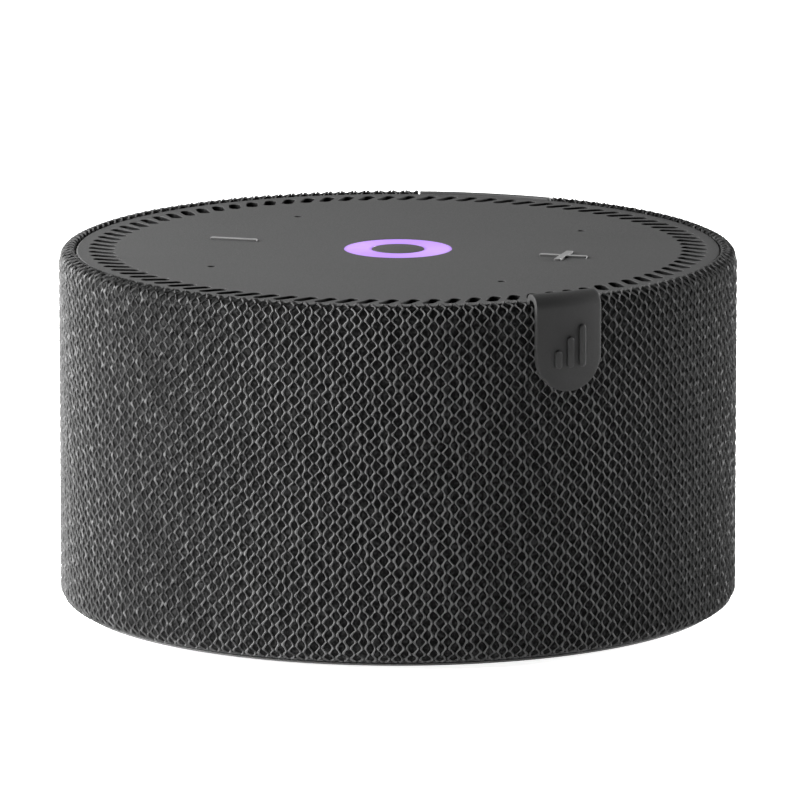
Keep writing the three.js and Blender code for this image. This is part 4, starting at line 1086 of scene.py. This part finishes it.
for k, (x, y) in enumerate(screw_places):
    fixing = copy_of(screw, f"base_fixing_{k + 1}")
    fixing.rotation_euler.z = 0.4 + 0.9 * k
    fixing.location = (x, y, 0)
    hand_over(settle(fixing), fixing.name, "screw_steel", [f"base_screw_{k + 1}"])
bpy.data.objects.remove(screw)

# ---- Port panel ----
PANEL_T = 1.8 * MM
LIP_T = 0.6 * MM  # the panel's thinner upper and lower ends
THICK_LOW = 6.2 * MM
THICK_HIGH = 47.4 * MM
panel_inside = [
    (RIM_INNER_R + LIP_T, FLAP_LOW),
    (RIM_INNER_R + LIP_T, RIM_TOP - LIP_T),
    *arc(DRUM_R - RIM_ROUND, RIM_TOP - RIM_ROUND, RIM_ROUND - LIP_T, 60, 0, 5),
    (DRUM_R - LIP_T, THICK_HIGH),
    (DRUM_R - PANEL_T, THICK_HIGH),
    (DRUM_R - PANEL_T, THICK_LOW),
    (DRUM_R - LIP_T, THICK_LOW),
    *arc(HEM_R, HEM_Z + HEM_ROUND, HEM_ROUND - LIP_T, 0, -90, 6),
    (HEM_R - 0.5 * MM, HEM_Z + LIP_T),
]
panel = spun("panel", SKIN + panel_inside, 20, math.pi / 2 - PANEL_HALF, 2 * PANEL_HALF)
USB_Z = (shell_low.z + shell_high.z) / 2
JACK_Z = (jack_low.z + jack_high.z) / 2
MUTE_Z = (slider_low.z + slider_high.z) / 2
USB_WIDTH = shell_high.x - shell_low.x
USB_HEIGHT = shell_high.z - shell_low.z
NOSE_R = 2.8 * MM
MUTE_SLOT = 6.6 * MM
KNOB_HEIGHT = 2.2 * MM
PORT_GAP = 0.25 * MM
THROUGH = (43.0 * MM, 54.0 * MM)  # depths inside and outside the panel


def through_back(name, loops, front, back, edge=0.0):
    """The loops, drawn in X and Z, pushed along +Y between two depths."""
    piece = cut_sheet(name, loops, -back, -front, edge)
    piece.rotation_euler.x = math.pi / 2
    return settle(piece)


port_openings = [
    capsule(USB_WIDTH + 2 * PORT_GAP, USB_HEIGHT + 2 * PORT_GAP, 10, cy=USB_Z),
    circle(NOSE_R + PORT_GAP, 48, cy=JACK_Z),
    capsule(MUTE_SLOT, KNOB_HEIGHT + 2 * PORT_GAP, 10, cy=MUTE_Z),
]
cut_away(panel, *(through_back("opening", [opening], *THROUGH) for opening in port_openings))
smooth(eased_edges(panel, 0.16 * MM, 50, 3), 40)
hand_over(panel, "port_panel", "panel_plastic", ["rear_panel"])

WALL = 0.3 * MM
shell = through_back(
    "shell",
    [
        capsule(USB_WIDTH, USB_HEIGHT, 12, cy=USB_Z),
        capsule(USB_WIDTH - 2 * WALL, USB_HEIGHT - 2 * WALL, 12, cy=USB_Z),
    ],
    shell_low.y,
    shell_high.y,
    0.07 * MM,
)
hand_over(smooth(shell), "usb_collar", "port_steel", ["usb_shell"])
plug_face = tongue_low.y + 2.2 * MM
core = through_back(
    "core",
    [capsule(USB_WIDTH - 0.8 * MM, USB_HEIGHT - 0.8 * MM, 12, cy=USB_Z)],
    tongue_low.y,
    plug_face,
    0.05 * MM,
)
BLADE_HALF_WIDTH = 3.345 * MM
BLADE_HALF_T = 0.35 * MM
blade = block(
    "blade",
    (-BLADE_HALF_WIDTH, plug_face - 1 * MM, USB_Z - BLADE_HALF_T),
    (BLADE_HALF_WIDTH, tongue_high.y, USB_Z + BLADE_HALF_T),
    0.1 * MM,
    3,
)
tongue = one_piece("tongue", core, blade)
hand_over(smooth(tongue), "usb_blade", "black_plastic", ["usb_tongue"])
CONTACTS_A_SIDE = 12
CONTACT_PITCH = 0.5 * MM
CONTACT_HALF_WIDTH = 0.12 * MM
CONTACT_HALF_T = 0.03 * MM
contacts = []
for face in (-1, 1):
    z = USB_Z + face * BLADE_HALF_T
    for k in range(CONTACTS_A_SIDE):
        x = (k - (CONTACTS_A_SIDE - 1) / 2) * CONTACT_PITCH
        low = (x - CONTACT_HALF_WIDTH, plug_face + 0.2 * MM, z - CONTACT_HALF_T)
        high = (x + CONTACT_HALF_WIDTH, tongue_high.y - 0.9 * MM, z + CONTACT_HALF_T)
        contacts.append(block(f"contact_{k}", low, high, 0.015 * MM))
hand_over(one_piece("contacts", *contacts), "usb_contacts", "port_steel")

JACK_BORE_R = 1.8 * MM
NOSE_LENGTH = 3.8 * MM
GROOVE_DEPTH = 0.25 * MM
nose_profile = [
    (JACK_BORE_R, 0.0),
    (2.05 * MM, 0.0),
    (2.05 * MM, GROOVE_DEPTH),
    (2.3 * MM, GROOVE_DEPTH),
    (2.3 * MM, 0.0),
    (NOSE_R - 0.15 * MM, 0.0),
    (NOSE_R, 0.15 * MM),
    (NOSE_R, NOSE_LENGTH),
    (JACK_BORE_R, NOSE_LENGTH),
]
nose = spun("nose", eased(nose_profile, 0.05 * MM), 64)
nose.rotation_euler.x = math.pi / 2
nose.location = (0, jack_high.y, JACK_Z)
settle(nose)
jack_front = DRUM_R - PANEL_T - 1.2 * MM
body = block("jack_body", jack_low, (jack_high.x, jack_front, jack_high.z), 0.15 * MM)
bore = circle(JACK_BORE_R, 48, cy=JACK_Z)
cut_away(body, through_back("bore", [bore], jack_low.y + 1.2 * MM, THROUGH[1]))
jack = one_piece("jack", body, nose)
hand_over(smooth(face_out(jack)), "audio_socket", "black_plastic", ["audio_jack"])

KNOB_X = (slider_low.x + slider_high.x) / 2
KNOB_WIDTH = 4.0 * MM
RIB_PITCH = 0.7 * MM
RIB_HALF_WIDTH = 0.16 * MM
RIB_HALF_HEIGHT = 0.7 * MM
COVER_FRONT = DRUM_R - PANEL_T - 1.0 * MM
COVER_BACK = COVER_FRONT - 0.9 * MM
knob = through_back(
    "knob",
    [capsule(KNOB_WIDTH, KNOB_HEIGHT, 12, KNOB_X, MUTE_Z)],
    COVER_BACK,
    slider_high.y - 0.15 * MM,
    0.2 * MM,
)
ribs = [
    block(
        f"rib_{k}",
        (KNOB_X + k * RIB_PITCH - RIB_HALF_WIDTH, slider_high.y - 0.6 * MM, MUTE_Z - RIB_HALF_HEIGHT),
        (KNOB_X + k * RIB_PITCH + RIB_HALF_WIDTH, slider_high.y, MUTE_Z + RIB_HALF_HEIGHT),
        0.1 * MM,
        3,
    )
    for k in (-1, 0, 1)
]
cover = block(
    "cover",
    (slider_low.x, COVER_BACK, slider_low.z),
    (slider_high.x, COVER_FRONT, slider_high.z),
    0.12 * MM,
)
stem = block(
    "stem",
    (KNOB_X - 0.8 * MM, slider_low.y, MUTE_Z - 0.7 * MM),
    (KNOB_X + 0.8 * MM, COVER_BACK + 0.3 * MM, MUTE_Z + 0.7 * MM),
    0.1 * MM,
)
slider = one_piece("slider", knob, cover, stem, *ribs)
hand_over(smooth(slider), "mute_knob", "slider_plastic", ["mute_slider"], body="mute_slider")

# ---- Floor, light and camera ----
FLOOR_GLOW = 0.85
WORLD_LIGHT = 0.2
VIEW_TURN = math.radians(16.2)
VIEW_RISE = math.radians(11.0)
VIEW_DISTANCE = 1.55
MIDDLE = Vector((0, 0, 26.5 * MM))
AIM_RIGHT = 0.29 * MM
AIM_UP = 3.02 * MM
LENS = 481  # millimetres, over a sensor 36 wide

bpy.ops.mesh.primitive_plane_add(size=12, location=(0, 0, 0))
floor = bpy.context.object
floor.name = "floor"
floor_material, _, floor_shader, _ = new_finish("pale_floor")
floor_shader.inputs["Base Color"].default_value = (0.86, 0.86, 0.86, 1)
floor_shader.inputs["Roughness"].default_value = 0.9
floor_shader.inputs["Specular IOR Level"].default_value = 0.1
floor_shader.inputs["Emission Color"].default_value = (1, 1, 1, 1)
floor_shader.inputs["Emission Strength"].default_value = FLOOR_GLOW
floor.data.materials.append(floor_material)

world = bpy.data.worlds.new("studio")
bpy.context.scene.world = world
world.use_nodes = True
for node in world.node_tree.nodes:
    if node.type == "BACKGROUND":
        node.inputs["Color"].default_value = (1, 1, 1, 1)
        node.inputs["Strength"].default_value = WORLD_LIGHT

to_camera = Vector(
    (
        math.sin(VIEW_TURN) * math.cos(VIEW_RISE),
        -math.cos(VIEW_TURN) * math.cos(VIEW_RISE),
        math.sin(VIEW_RISE),
    )
)
camera_right = Vector((math.cos(VIEW_TURN), math.sin(VIEW_TURN), 0))
camera_up = camera_right.cross(-to_camera)


def soft_box(name, place, size, power):
    """A large square lamp aimed at the hub."""
    lamp = bpy.data.lights.new(name, "AREA")
    lamp.size = size
    lamp.energy = power
    stand = bpy.data.objects.new(name, lamp)
    stand.location = place
    stand.rotation_euler = (MIDDLE - Vector(place)).to_track_quat("-Z", "Y").to_euler()
    bpy.context.scene.collection.objects.link(stand)


def in_view(right, back, up):
    """A place given to the right of, behind and above the hub as the camera sees it."""
    away = Vector((-to_camera.x, -to_camera.y, 0)).normalized()
    return tuple(camera_right * right + away * back + Vector((0, 0, up)))


soft_box("overhead_light", in_view(0.0, 0.3, 1.6), 1.6, 3)
soft_box("left_light", in_view(-0.29, -0.04, 0.16), 0.24, 7.0)
soft_box("right_light", in_view(0.43, 0.22, 0.11), 0.2, 9.0)

camera_data = bpy.data.cameras.new("camera")
camera_data.lens = LENS
camera_data.sensor_width = 36
camera = bpy.data.objects.new("camera", camera_data)
aim = MIDDLE + camera_right * AIM_RIGHT + camera_up * AIM_UP
camera.location = MIDDLE + to_camera * VIEW_DISTANCE
camera.rotation_euler = (aim - camera.location).to_track_quat("-Z", "Y").to_euler()
camera_data.clip_start = 0.1
camera_data.clip_end = 50
bpy.context.scene.collection.objects.link(camera)
bpy.context.scene.camera = camera
bpy.context.scene.view_settings.view_transform = "Standard"
